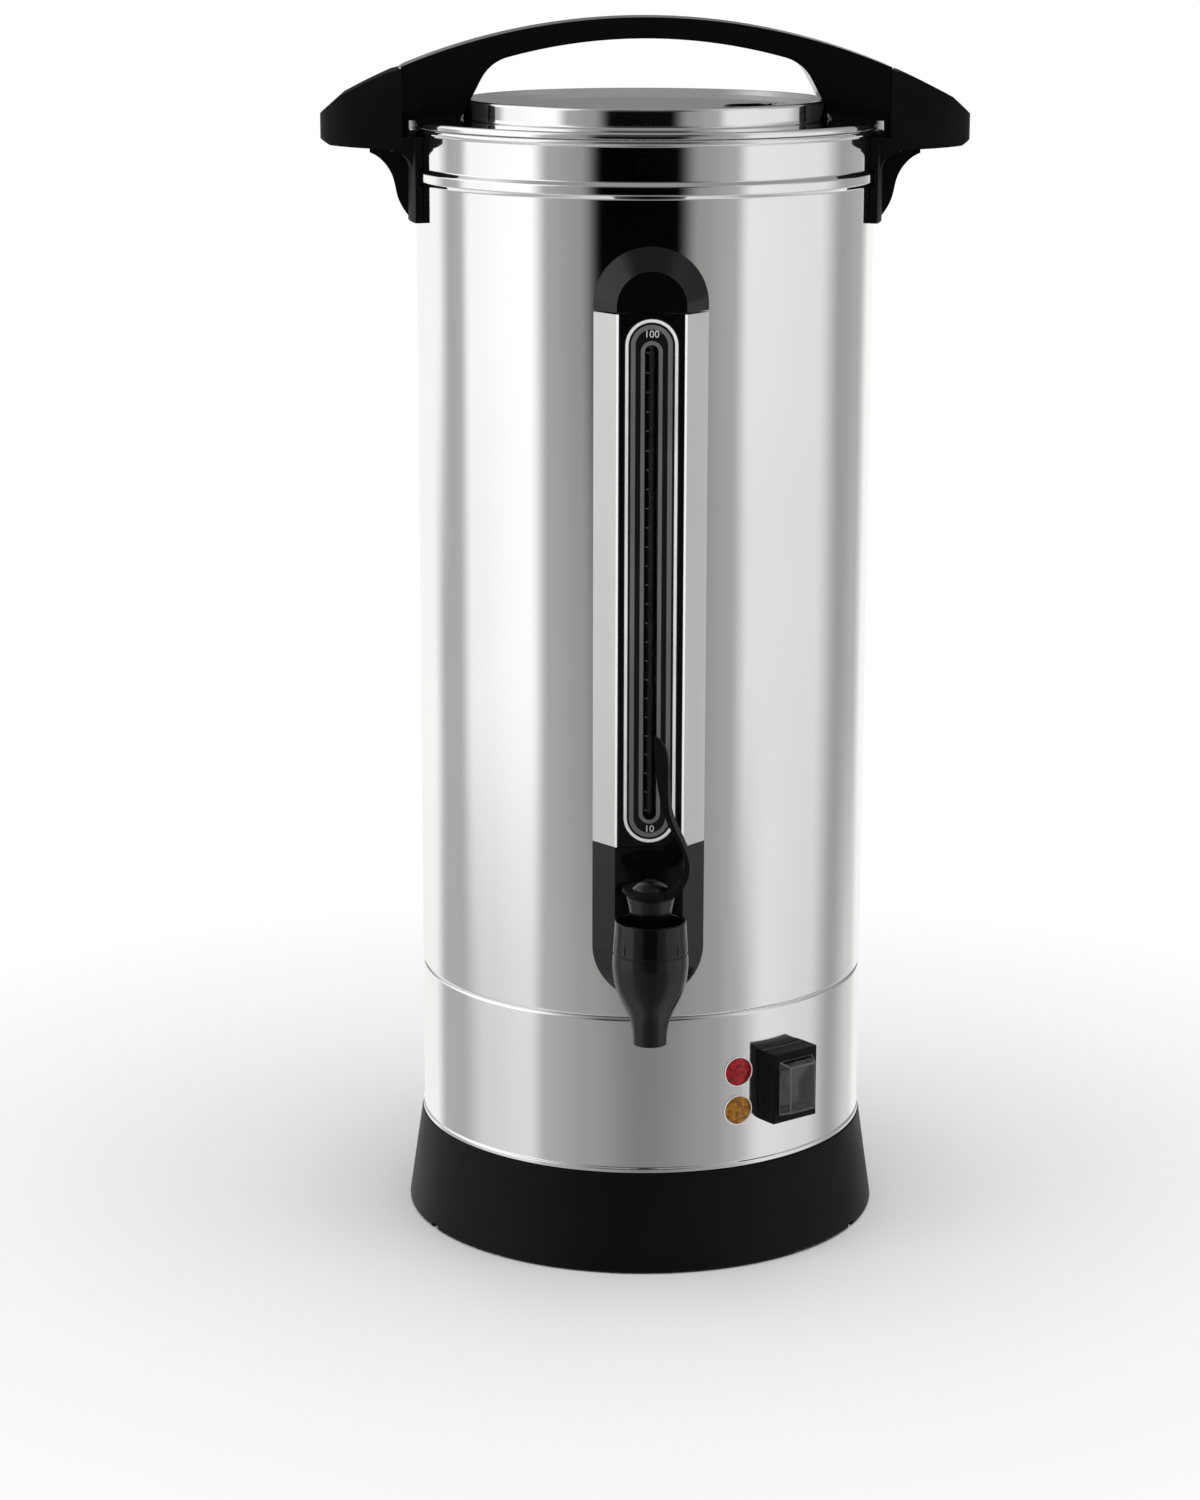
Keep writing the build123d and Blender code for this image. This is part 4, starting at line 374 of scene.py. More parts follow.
class Tree:
    """Node tree that grows node by node."""

    def __init__(self, tree):
        self.tree = tree

    def node(self, kind, inputs=None, **values):
        node = self.tree.nodes.new(kind)
        for key, value in values.items():
            setattr(node, key, value)
        for key, value in (inputs or {}).items():
            if isinstance(value, bpy.types.NodeSocket):
                self.tree.links.new(value, node.inputs[key])
            else:
                node.inputs[key].default_value = value
        return node

    def reckon(self, operation, *values):
        inputs = dict(enumerate(values))
        return self.node("ShaderNodeMath", inputs, operation=operation).outputs["Value"]

    def spread(self, value, low, high, start=0.3, end=0.7):
        """Maps start to end onto low to high."""
        return self.node(
            "ShaderNodeMapRange",
            {"Value": value, "From Min": start, "From Max": end, "To Min": low, "To Max": high},
        ).outputs["Result"]

    def mixed(self, factor, first, second):
        """Colour between two colours, each a socket or three numbers."""
        node = self.node("ShaderNodeMix", {0: factor}, data_type="RGBA")
        for socket, value in ((6, first), (7, second)):
            if isinstance(value, bpy.types.NodeSocket):
                self.tree.links.new(value, node.inputs[socket])
            else:
                node.inputs[socket].default_value = (*value[:3], 1.0)
        return node.outputs[2]

    def over(self, factor, below, above):
        """Shader that passes from below to above as the factor goes from 0 to 1."""
        inputs = {0: factor, 1: below.outputs[0], 2: above.outputs[0]}
        return self.node("ShaderNodeMixShader", inputs)

    def show(self, shader):
        """Makes the shader the tree's surface."""
        output = next(node for node in self.tree.nodes if "OUTPUT" in node.type)
        self.tree.links.new(shader.outputs[0], output.inputs["Surface"])

    def between(self, rise, start, end):
        """Share from 0 at one elevation to 1 at another, both in degrees."""
        return self.node(
            "ShaderNodeMapRange",
            {"Value": rise, "From Min": sin(radians(start)), "From Max": sin(radians(end))},
            interpolation_type="SMOOTHSTEP",
        ).outputs["Result"]


class Finish(Tree):
    """Material on Object coordinates."""

    def __init__(self, name):
        self.material = bpy.data.materials.new(name)
        self.material.use_nodes = True
        super().__init__(self.material.node_tree)
        self.shader = self.tree.nodes["Principled BSDF"]
        self.coordinates = self.node("ShaderNodeTexCoord").outputs["Object"]

    def link(self, output, socket):
        self.tree.links.new(output, self.shader.inputs[socket])

    def set(self, **values):
        for key, value in values.items():
            self.shader.inputs[key.replace("_", " ")].default_value = value

    def noise(self, scale, detail, stretch=(1, 1, 1)):
        mapping = self.node("ShaderNodeMapping", {"Vector": self.coordinates, "Scale": stretch})
        vector = mapping.outputs["Vector"]
        inputs = {"Vector": vector, "Scale": scale, "Detail": detail}
        return self.node("ShaderNodeTexNoise", inputs).outputs["Fac"]

    def veiled(self, scale, detail, first, second):
        """Soft change between two colours; returns its noise."""
        veil = self.noise(scale, detail)
        self.link(self.mixed(self.spread(veil, 0.0, 1.0), first, second), "Base Color")
        return veil

    def bumped(self, height, depth):
        """The material with bumps of this depth in metres."""
        inputs = {"Height": height, "Distance": depth, "Strength": 1.0}
        self.link(self.node("ShaderNodeBump", inputs).outputs["Normal"], "Normal")
        return self.material


def shade(colour, factor):
    return tuple(min(1.0, c * factor) for c in colour)


def steel(name, colour, roughness, lines=2200.0, depth=0.0008 * MM, smudge=0.03):
    """Rolled or polished steel with fine lines round the body and a few dull smudges."""
    finish = Finish(name)
    finish.set(Metallic=1.0, IOR=2.5)
    across = 14.0
    streaks = finish.noise(1.0, 3.0, (across, across, lines))
    veil = finish.veiled(9.0, 3.0, colour, shade(colour, 0.97))
    dull = finish.spread(veil, roughness, roughness + smudge, 0.45, 0.8)
    finish.link(dull, "Roughness")
    return finish.bumped(streaks, depth)


def moulded(name, colour, roughness, grain, depth, spread=0.06, shine=0.5):
    """Moulded plastic with a fine grain and a little change in gloss."""
    finish = Finish(name)
    finish.set(IOR=1.5, Specular_IOR_Level=shine)
    veil = finish.veiled(26.0, 4.0, colour, shade(colour, 1.35))
    finish.link(finish.spread(veil, roughness - spread, roughness + spread), "Roughness")
    return finish.bumped(finish.noise(grain, 2.0), depth)


def cast(name, colour, roughness, metallic, grain, depth):
    """Plain metal, ceramic or rubber of the hidden pieces."""
    finish = Finish(name)
    finish.set(Metallic=metallic)
    veil = finish.veiled(60.0, 4.0, shade(colour, 0.82), shade(colour, 1.1))
    finish.link(finish.spread(veil, roughness - 0.08, roughness + 0.08), "Roughness")
    return finish.bumped(finish.noise(grain, 3.0), depth)


def clear(name, colour, roughness, ior, shine):
    """Clear glass or plastic with faint streaks."""
    finish = Finish(name)
    finish.set(Transmission_Weight=1.0, IOR=ior, Specular_IOR_Level=shine)
    veil = finish.veiled(40.0, 2.0, colour, shade(colour, 0.97))
    finish.link(finish.spread(veil, roughness, roughness + 0.02), "Roughness")
    return finish.material


def lens(name, colour):
    """Pilot lens with small facets moulded behind its dome."""
    finish = Finish(name)
    finish.set(IOR=1.49, Specular_IOR_Level=0.3, Coat_Weight=0.25, Coat_Roughness=0.05)
    inputs = {"Vector": finish.coordinates, "Scale": 520.0}
    facets = finish.node("ShaderNodeTexVoronoi", inputs, feature="F1").outputs["Distance"]
    depth = finish.spread(facets, 0.0, 1.0, 0.15, 0.75)
    finish.link(finish.mixed(depth, shade(colour, 1.2), shade(colour, 0.45)), "Base Color")
    finish.link(finish.spread(facets, 0.12, 0.35, 0.0, 0.8), "Roughness")
    return finish.bumped(facets, 0.25 * MM)


def make_finishes():
    """All finishes by name; most names are slots of the record."""
    c = colours()
    black = tuple(c.moulded)
    # steel: colour, roughness, lines per metre up the body, their depth, smudge
    rolled = {
        "polished_steel": (tuple(c.steel), 0.055),
        "brushed_steel": (tuple(c.steel), 0.09, 1500.0, 0.003 * MM, 0.04),
        "satin_steel": (tuple(c.satin), 0.28, 900.0, 0.002 * MM, 0.05),
        "bright_trim": ((0.86, 0.86, 0.87), 0.08, 600.0, 0.0003 * MM, 0.03),
    }
    # moulded: colour, roughness, grain, its depth, change in roughness, shine
    plastic = {
        "black_matte": (shade(black, 2.0), 0.5, 1400.0, 0.012 * MM, 0.06, 0.12),
        "black_satin": (black, 0.2, 1800.0, 0.004 * MM, 0.06, 0.45),
        "black_gloss": (black, 0.12, 1200.0, 0.0015 * MM, 0.04, 0.4),
        "black_ear": (shade(black, 1.6), 0.6, 1400.0, 0.012 * MM, 0.06, 0.13),
        "scale_black": (shade(black, 3.0), 0.25, 1600.0, 0.002 * MM, 0.04, 0.4),
        "scale_pale": ((0.45, 0.45, 0.45), 0.4, 1500.0, 0.002 * MM),
        "scale_print": (tuple(c.print_grey), 0.4, 1500.0, 0.002 * MM),
        "silver_trim": ((0.62, 0.62, 0.62), 0.3, 900.0, 0.002 * MM),
        # painted highlight: near-white finish for the gauge cover's folded edges, in place of the
        # light off them
        "bright_edge": ((1.0, 1.0, 0.99), 0.35, 900.0, 0.001 * MM),
    }
    # cast: colour, roughness, metallic, grain, its depth
    hidden = {
        "steel_hardware": ((0.55, 0.55, 0.56), 0.35, 1.0, 900.0, 0.01 * MM),
        "aluminium": ((0.72, 0.73, 0.74), 0.3, 1.0, 700.0, 0.01 * MM),
        "brass": ((0.72, 0.53, 0.24), 0.3, 1.0, 900.0, 0.01 * MM),
        "element_sheath": ((0.12, 0.12, 0.13), 0.45, 1.0, 900.0, 0.02 * MM),
        "rubber_black": ((0.03, 0.03, 0.03), 0.7, 0.0, 1500.0, 0.04 * MM),
        "silicone": ((0.72, 0.73, 0.73), 0.4, 0.0, 900.0, 0.01 * MM),
        "mica": ((0.55, 0.46, 0.33), 0.6, 0.0, 500.0, 0.03 * MM),
        "control_body": ((0.62, 0.58, 0.5), 0.5, 0.0, 800.0, 0.02 * MM),
        "nylon": ((0.7, 0.69, 0.64), 0.45, 0.0, 900.0, 0.01 * MM),
        "lead_insulation": ((0.35, 0.05, 0.04), 0.4, 0.0, 900.0, 0.01 * MM),
    }
    # clear: colour, roughness, index of refraction, shine
    glass = {
        "clear_glass": ((0.6, 0.62, 0.62), 0.02, 1.2, 0.25),
        "clear_cover": ((0.78, 0.79, 0.8), 0.02, 1.35, 0.5),
    }
    lenses = {"lens_red": (tuple(c.red),), "lens_amber": (tuple(c.amber),)}
    groups = ((steel, rolled), (moulded, plastic), (cast, hidden), (clear, glass), (lens, lenses))
    return {name: make(name, *values) for make, group in groups for name, values in group.items()}


SATIN_NODES = ("tap_body", "tap_collar", "tap_bonnet", "tap_lever", "tap_button")
SLOT_OF = {part["node"]: part["material_slot"] for part in frame["record"]["subparts"]}
FINISHES = {}


def dress(piece, slot, body, finish=None):
    """Gives a piece its finish, the one named by its slot unless another is given, and the body
    that it rides on.
    """
    piece.data.materials.clear()
    piece.data.materials.append(FINISHES[finish or slot])
    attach(piece, body)
    return piece


def stand_in(piece, *nodes, finish=None):
    """Dresses a piece as the nodes that it stands for, and hides them."""
    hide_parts(*nodes)
    return dress(piece, SLOT_OF[nodes[0]], BODY_OF[nodes[0]], finish)


class UrnStep(bpy.types.Operator):
    """Step that builds a piece or a group of like pieces."""

    bl_options = {"REGISTER", "UNDO"}


class URN_OT_finishes(UrnStep):
    """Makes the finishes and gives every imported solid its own"""

    bl_idname = "urn.finishes"
    bl_label = "Finishes"

    def execute(self, context):
        FINISHES.update(make_finishes())
        for name, node in NODES.items():
            slot = node.material_slots[0]
            slot.link = "OBJECT"
            finish = "black_satin" if name in SATIN_NODES else SLOT_OF[name]
            slot.material = FINISHES[finish]
        return {"FINISHED"}


# ---------------------------------------------------------------- pressed steel


class URN_OT_tank(UrnStep):
    """Tank with its well, bead and rolled rim"""

    bl_idname = "urn.tank"
    bl_label = "Tank"

    def execute(self, context):
        s = sizes()
        wall, top, seam = TANK_HIGH.x - s.rim_out, TANK_HIGH.z, SKIRT_HIGH.z
        roll_r, roll_z = TANK_HIGH.x - s.rim_radius, top - s.rim_radius
        start = asin((wall - roll_r) / s.rim_radius) - pi / 2
        end = 1.5 * pi - asin((wall - s.sheet - roll_r) / s.rim_radius)
        outline = self.side(s, wall, seam, 0.0)
        steps = 24
        for k in range(steps + 1):
            t = start + (end - start) * k / steps
            outline.append(
                Vector((roll_r + s.rim_radius * cos(t), roll_z + s.rim_radius * sin(t)))
            )
        outline += reversed(self.side(s, wall, seam, s.sheet))
        tank = spun("tank_shell", outline, s.turn_steps, closed=False)
        stand_in(even(smooth(tank)), "tank")
        return {"FINISHED"}

    def side(self, s, wall, seam, inset):
        """Half section from the middle of the well up to the rim, moved inwards by inset."""
        bead = TANK_HIGH.z - s.bead_drop
        under_rim = TANK_HIGH.z - 2.4 * s.rim_radius
        out = s.rim_out
        soft = 1.0 * MM
        return rounded([
            (0, TANK_LOW.z + inset),
            (s.well_radius - inset, TANK_LOW.z + inset, 2 * soft),
            (s.well_radius - inset, seam + inset, 0.6 * soft),
            (wall - inset, seam + inset, s.seam_round - inset / 2),
            (wall - inset, bead, soft),
            (wall - inset + out, bead + out, soft),
            (wall - inset + out, bead + s.bead_height - out, soft),
            (wall - inset, bead + s.bead_height, soft),
            (wall - inset, under_rim),
        ])


def facing(node):
    """Azimuth and height of a node's middle."""
    low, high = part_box(node)
    middle = (low + high) / 2
    return degrees(atan2(middle.x, -middle.y)), middle.z


def block_tool(matrix, width, height, depth):
    deselect()
    bpy.ops.mesh.primitive_cube_add(size=1.0)
    tool = bpy.context.object
    tool.scale = (width, height, depth)
    take(tool)
    bpy.ops.object.transform_apply(scale=True)
    return place(tool, matrix)


def peg_tool(matrix, radius, depth):
    deselect()
    bpy.ops.mesh.primitive_cylinder_add(vertices=ROUND_STEPS, radius=radius, depth=depth)
    return place(bpy.context.object, matrix)


# The skirt's openings: width and height behind the switch and the inlet, and each lamp's radius.
SWITCH_HOLE = (20.0 * MM, 26.6 * MM)
INLET_HOLE = (28.2 * MM, 20.2 * MM)
LAMP_HOLE = 6.1 * MM


class URN_OT_skirt(UrnStep):
    """Skirt with its rolled lower edge, flanges and openings"""

    bl_idname = "urn.skirt"
    bl_label = "Skirt"

    def execute(self, context):
        s = sizes()
        low, high = SKIRT_LOW.z, SKIRT_HIGH.z
        wall = SKIRT_HIGH.x - s.hem_proud
        inner, hem = wall - s.skirt_flange, low + s.hem_height
        soft, straight = 0.6 * MM, 20 * MM
        outline = rounded([
            (inner, low),
            (SKIRT_HIGH.x, low, soft),
            (SKIRT_HIGH.x, hem, soft),
            (wall, hem + s.hem_proud, soft),
            (wall, low + straight),
            (wall, high - straight),
            (wall, high, s.seam_round),
            (inner, high),
            (inner, high - s.sheet),
            (wall - s.sheet, high - s.sheet),
            (wall - s.sheet, low + s.sheet),
            (inner, low + s.sheet),
        ])
        skirt = spun("skirt_shell", outline, s.turn_steps)
        depth = 30 * MM
        for node, hole in (("switch_case", SWITCH_HOLE), ("power_inlet", INLET_HOLE)):
            azimuth, height = facing(node)
            cut(skirt, block_tool(wall_matrix(azimuth, wall, height), *hole, depth))
        azimuth = facing("lamp_bezels")[0]
        for node in ("lamp_red_lens", "lamp_amber_lens"):
            matrix = wall_matrix(azimuth, wall, facing(node)[1])
            cut(skirt, peg_tool(matrix, LAMP_HOLE, depth))
        stand_in(even(smooth(skirt)), "skirt", finish="brushed_steel")
        return {"FINISHED"}


class URN_OT_lid(UrnStep):
    """Lid with its hemmed edge, raised wall and dish"""

    bl_idname = "urn.lid"
    bl_label = "Lid"

    def execute(self, context):
        s = sizes()
        edge, top = LID_HIGH.x, LID_HIGH.z
        flange = LID_LOW.z + s.lid_edge_height
        wall = edge - s.lid_flange
        dish = wall - s.lid_rim
        rim = dish + s.dish_edge_drop
        soft = 1.0 * MM
        outline = self.dish(s, dish, top, 0.0)[::-1]
        outline += rounded([
            outline[-1],
            (rim, top, 0.6 * soft),
            (wall, top, 1.5 * soft),
            (wall, flange, soft),
            (edge, flange, 1.4 * soft),
            (edge, LID_LOW.z, 0.3 * soft),
            (edge - s.sheet, LID_LOW.z),
            (edge - s.sheet, flange - s.sheet, 0.6 * soft),
            (wall - s.sheet, flange - s.sheet, 0.6 * soft),
            (wall - s.sheet, top - s.sheet, 0.7 * soft),
            (rim + 0.3 * soft, top - s.sheet, 0.4 * soft),
            (dish, top - s.dish_edge_drop - s.sheet),
        ])[1:-1]
        outline += self.dish(s, dish, top, s.sheet)
        lid = spun("lid_pressing", outline, s.turn_steps, closed=False)
        low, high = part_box("lid_vent")
        middle = (low + high) / 2
        radius, depth = (high.y - low.y) / 2 - s.vent_lip, 40 * MM
        cut(lid, peg_tool(Matrix.Translation((middle.x, middle.y, top)), radius, depth))
        stand_in(even(smooth(lid)), "lid")
        return {"FINISHED"}

    def dish(self, s, radius, top, drop):
        """Half section of the dish from its edge to its middle."""
        lowest = top - s.dish_edge_drop - drop - s.dish_depth
        ball = (radius**2 + s.dish_depth**2) / (2 * s.dish_depth)
        steps = 16
        reach = [radius * (1 - k / steps) for k in range(steps + 1)]
        return [Vector((r, lowest + ball - sqrt(ball**2 - r**2))) for r in reach]


# ---------------------------------------------------------------- mouldings


class URN_OT_mouldings(UrnStep):
    """Ears, arch, gauge ends and switch block with rounded edges"""

    bl_idname = "urn.mouldings"
    bl_label = "Mouldings"

    def execute(self, context):
        edge = sizes().edge_round
        low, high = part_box("lid_handle")
        arch_end = high.x

        def free_of_arch(middle):
            return abs(middle.x) > arch_end + MM or middle.z < low.z

        def inside_ears(middle):
            return middle.xy.length < arch_end - ARCH_GAP

        for side, node in ((1, "side_bracket_right"), (-1, "side_bracket_left")):
            ear = copied(node, node + "_moulding")
            self.bend_wall(ear, side, arch_end)
            round_edges(ear, edge, wanted=free_of_arch)
            stand_in(even(smooth(ear)), node, finish="black_ear")
        arch = refined("lid_handle", "arch_moulding", edge, wanted=inside_ears)
        stand_in(arch, "lid_handle")
        for node in ("gauge_cap", "gauge_block"):
            stand_in(refined(node, node + "_moulding", edge), node)
        housing = refined("switch_housing", "switch_block", 0.5 * edge)
        stand_in(self.grooved(housing), "switch_housing", finish="black_matte")
        return {"FINISHED"}

    def grooved(self, housing):
        """Fine groove round the switch block's sides, near the skirt."""
        s = sizes()
        low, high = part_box("switch_housing")
        azimuth = facing("switch_cover")[0]
        matrix = wall_matrix(azimuth, SKIRT_HIGH.x + s.block_groove, (low.z + high.z) / 2)
        width, height, deep = 2 * s.block_half, high.z - low.z, 2 * s.groove_depth
        tool = block_tool(matrix, width + 2 * MM, height + 2 * MM, 0.6 * MM)
        cut(tool, block_tool(matrix, width - deep, height - deep, 2 * MM))
        return cut(housing, tool)

    def bend_wall(self, ear, side, arch_end):
        """Bends the ear's inner wall round the arch's end, which turns past it."""
        strip, strips, gap = 5 * MM, 5, 0.3 * MM
        edit(ear)
        for step in range(-strips, strips + 1):
            bpy.ops.mesh.select_all(action="SELECT")
            bpy.ops.mesh.bisect(plane_co=(0, strip * step, 0), plane_no=(0, 1, 0))
        bpy.ops.mesh.select_mode(type="VERT")
        mesh = bmesh.from_edit_mesh(ear.data)
        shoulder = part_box("handle_caps")[0].z - MM
        wall = [
            v for v in mesh.verts
            if arch_end + ARCH_GAP < side * v.co.x < arch_end + MM and v.co.z > shoulder
        ]
        for y in sorted({round(v.co.y, 6) for v in wall}):
            bpy.ops.mesh.select_all(action="DESELECT")
            row = [v for v in wall if abs(v.co.y - y) < 0.01 * MM]
            for vertex in row:
                vertex.select_set(True)
            bmesh.update_edit_mesh(ear.data)
            inwards = sqrt((arch_end + gap) ** 2 - y**2) - side * row[0].co.x
            bpy.ops.transform.translate(value=(side * inwards, 0, 0))
        bpy.ops.object.mode_set(mode="OBJECT")


# ---------------------------------------------------------------- level gauge


def stadium_band(name, half, width, low, high, distance):
    """Upright stadium ring that faces -Y, drawn from a circle."""
    deselect()
    bpy.ops.mesh.primitive_circle_add(
        vertices=ROUND_STEPS, radius=half, fill_type="NGON",
        location=(0, -distance, low + half), rotation=(pi / 2, 0, 0),
    )
    band = bpy.context.object
    edit(band, "DESELECT")
    mesh = bmesh.from_edit_mesh(band.data)
    for vertex in mesh.verts:
        vertex.select_set(vertex.co.y > 0.001 * MM)
    mesh.select_flush_mode()
    bmesh.update_edit_mesh(band.data)
    bpy.ops.transform.translate(value=(0, 0, high - low - 2 * half))
    bpy.ops.mesh.select_all(action="SELECT")
    bpy.ops.mesh.inset(thickness=width, use_even_offset=True)
    bpy.ops.mesh.delete(type="FACE")
    bpy.ops.mesh.select_all(action="SELECT")
    bpy.ops.mesh.extrude_region_move(
        TRANSFORM_OT_translate={"value": (0, -sizes().print_raise, 0)}
    )
    settle(band, name)
    return smooth(clean(band))


def number(name, text, z, distance):
    """Plain raised number that faces -Y."""
    deselect()
    bpy.ops.object.text_add(location=(0, -distance, z), rotation=(pi / 2, 0, 0))
    label = bpy.context.object
    label.data.body = text
    label.data.size = sizes().number_height
    label.data.extrude = sizes().print_raise
    label.data.align_x = "CENTER"
    label.data.align_y = "CENTER"
    bpy.ops.object.convert(target="MESH")
    label = bpy.context.object
    label.name = name
    label.data.name = name
    bpy.ops.object.transform_apply(location=True, rotation=True, scale=True)
    return label


class URN_OT_gauge(UrnStep):
    """Level gauge: rounded cover and bezel, the scale's printed rings, level marks and numbers"""

    bl_idname = "urn.gauge"
    bl_label = "Level gauge"

    def execute(self, context):
        s = sizes()
        edge = s.edge_round
        self.cover(edge)
        stand_in(refined("gauge_panel", "front_plate", 1.4 * edge, 3), "gauge_panel")
        stand_in(refined("gauge_bezel", "gauge_ring", edge, 3), "gauge_bezel", finish="silver_trim")
        low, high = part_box("gauge_scale_plate")
        front, inset, rim = -low.y, 1.0 * MM, s.slot_rim
        slot_low, slot_high = low.z + s.slot_lift, high.z - s.slot_drop
        self.band("scale_band", high.x - inset, s.band_width, low.z + inset, high.z - inset, front)
        self.band("scale_slot_rim", s.slot_half + rim, rim, slot_low - rim, slot_high + rim, front)
        self.marks(slot_low, slot_high, low.z, high.z, front)
        return {"FINISHED"}

    def cover(self, edge):
        """Steel channel with satin facets; the folded edge on each side of its front gets a painted
        highlight, a near-white finish in place of the light off it.
        """
        cover = refined("gauge_cover", "gauge_facets", 0.4 * edge)
        stand_in(cover, "gauge_cover")
        # near-white faces along the front: a painted highlight
        cover.data.materials.append(FINISHES["bright_edge"])
        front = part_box("gauge_cover")[0].y + sizes().highlight_depth
        edit(cover, "DESELECT")
        select_faces(cover, lambda middle: middle.y < front)
        cover.active_material_index = 1
        bpy.ops.object.material_slot_assign()
        bpy.ops.object.mode_set(mode="OBJECT")

    def band(self, *measures):
        """Printed ring; the measures are those of stadium_band."""
        dress(stadium_band(*measures), "scale_black", BODY_OF["gauge_scale_plate"], "scale_print")

    def marks(self, slot_low, slot_high, low, high, distance):
        """Plain cup numbers at the slot's ends and a ladder of level marks on the glass."""
        s = sizes()
        body = BODY_OF["gauge_scale_plate"]
        inwards, proud = 0.3 * MM, 0.05 * MM
        upper, lower = (slot_high + high) / 2 - inwards, (slot_low + low) / 2 + inwards
        for name, text, z in (("mark_full", "100", upper), ("mark_low", "10", lower)):
            label = number(name, text, z, distance + proud)
            dress(label, "scale_black", body, "scale_pale")
        step = (slot_high - slot_low - 2 * s.mark_gap) / s.mark_steps
        first = self.mark(slot_low + s.mark_gap)
        dress(first, "scale_black", body, "scale_print")
        for k in range(1, s.mark_steps + 1):
            tick = first.copy()
            tick.data = first.data.copy()
            bpy.context.scene.collection.objects.link(tick)
            place(tick, Matrix.Translation((0, 0, k * step)))
            dress(tick, "scale_black", body, "scale_print")

    def mark(self, z):
        """One level mark on the glass, left of its front."""
        s = sizes()
        low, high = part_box("gauge_tube")
        deselect()
        bpy.ops.mesh.primitive_cube_add(size=1.0)
        mark = bpy.context.object
        mark.scale = (s.mark_width, s.print_raise, s.mark_height)
        edit(mark)
        bpy.ops.mesh.bevel(offset=0.015 * MM, segments=1)
        settle(mark, "level_mark")
        clearance = 0.03 * MM
        axis = Matrix.Translation((0, (low.y + high.y) / 2, z))
        out = Matrix.Translation((0, -high.x - clearance, 0))
        return place(mark, axis @ Matrix.Rotation(-s.mark_turn, 4, "Z") @ out)


# ---------------------------------------------------------------- tap, switch and lamps


class URN_OT_tap(UrnStep):
    """Tap with rounded collar and lever, its groove and its spring"""

    bl_idname = "urn.tap"
    bl_label = "Tap"

    def execute(self, context):
        edge = sizes().edge_round
        parts = (("tap_collar", 1.5 * edge, "black_gloss"), ("tap_lever", edge, "black_ear"))
        for node, soft, finish in parts:
            stand_in(refined(node, node + "_moulding", soft), node, finish=finish)
        self.spring()
        self.collar_line()
        return {"FINISHED"}

    def collar_line(self):
        """Fine groove round the tap's body below its collar."""
        s = sizes()
        low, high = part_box("tap_collar")
        radius, middle_y = (high.x - low.x) / 2, (low.y + high.y) / 2
        inner, outer = radius - s.groove_depth, radius + 1.0 * MM
        under, steps = low.z - 2 * s.tap_groove, 96
        section = [(inner, under), (outer, under), (outer, low.z), (inner, low.z)]
        tool = spun("groove_tool", section, steps, middle=(0.0, middle_y))
        body = cut(copied("tap_body", "tap_faucet"), tool)
        stand_in(even(smooth(body)), "tap_body", finish="black_satin")

    def spring(self):
        """Smooth-shaded copy of the spring under the neck, riding on the bonnet's body."""
        spring = even(smooth(copied("tap_spring", "lift_spring")))
        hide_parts("tap_spring")
        dress(spring, SLOT_OF["tap_spring"], BODY_OF["tap_bonnet"])
        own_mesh(spring)


class URN_OT_switch(UrnStep):
    """Rocker and its clear cover with printed edges"""

    bl_idname = "urn.switch"
    bl_label = "Switch"

    def execute(self, context):
        edge = sizes().edge_round
        stand_in(refined("switch_rocker", "rocker_key", 0.8 * edge), "switch_rocker")
        cover = stand_in(copied("switch_cover", "splash_cover"), "switch_cover")
        cover.data.materials.append(FINISHES["scale_print"])
        even(smooth(round_edges(cover, 0.7 * edge, 1, slot=1)))
        return {"FINISHED"}


class URN_OT_lamps(UrnStep):
    """Pilot lamps' bezels"""

    bl_idname = "urn.lamps"
    bl_label = "Lamps"

    def execute(self, context):
        rings = refined("lamp_bezels", "lamp_rings", 0.6 * sizes().edge_round)
        stand_in(rings, "lamp_bezels", finish="silver_trim")
        return {"FINISHED"}


# ---------------------------------------------------------------- stage


# Soft panels round the object, as (azimuth, brightness): a screen or a dark gap in front, a pair of
# pale panels on each side with a grey gap between them, and a pale wall behind.
STUDIO_HIGH = (
    (-130, 0.95), (-116, 0.64), (-108, 0.66), (-99, 0.96), (-61, 1.0), (-50, 0.62), (-34, 0.56),
    (-23, 0.0), (14, 0.0), (26, 0.56), (43, 0.63), (52, 0.88), (95, 0.86), (115, 0.6),
    (135, 0.65), (155, 0.95),
)
STUDIO_MIDDLE = (
    (-138, 0.95), (-122, 0.66), (-110, 0.66), (-98, 0.93), (-61, 0.98), (-50, 0.63), (-34, 0.58),
    (-16, 0.25), (14, 0.25), (26, 0.56), (43, 0.62), (54, 0.86), (95, 0.85), (118, 0.6),
    (136, 0.68), (155, 0.95),
)
STUDIO_LOW = (
    (-140, 0.93), (-125, 0.66), (-110, 0.65), (-90, 0.8), (-62, 0.84), (-52, 0.65), (-30, 0.58),
    (0, 0.48), (36, 0.57), (48, 0.64), (66, 0.85), (95, 0.81), (115, 0.6), (140, 0.8),
    (155, 0.93),
)
STUDIO_ABOVE = (
    (-172, 0.5), (-150, 0.6), (-110, 1.0), (-60, 1.0), (-40, 0.6), (-20, 0.24), (20, 0.24),
    (40, 0.6), (60, 0.85), (110, 0.6), (150, 0.5),
)

# Elevations in degrees between which one row of panels passes into the next.
HIGH_TO_MIDDLE = (-6.0, -12.0)
MIDDLE_TO_LOW = (-12.0, -18.0)
FRONT_TO_ABOVE = (-2.5, 1.5)
ABOVE_TO_CEILING = (42.0, 66.0)
CEILING = (0.26, 0.26, 0.26)
PANEL_LIGHT, SOFT_LIGHT = 1.06, 0.75  # strength in reflections and on dull faces

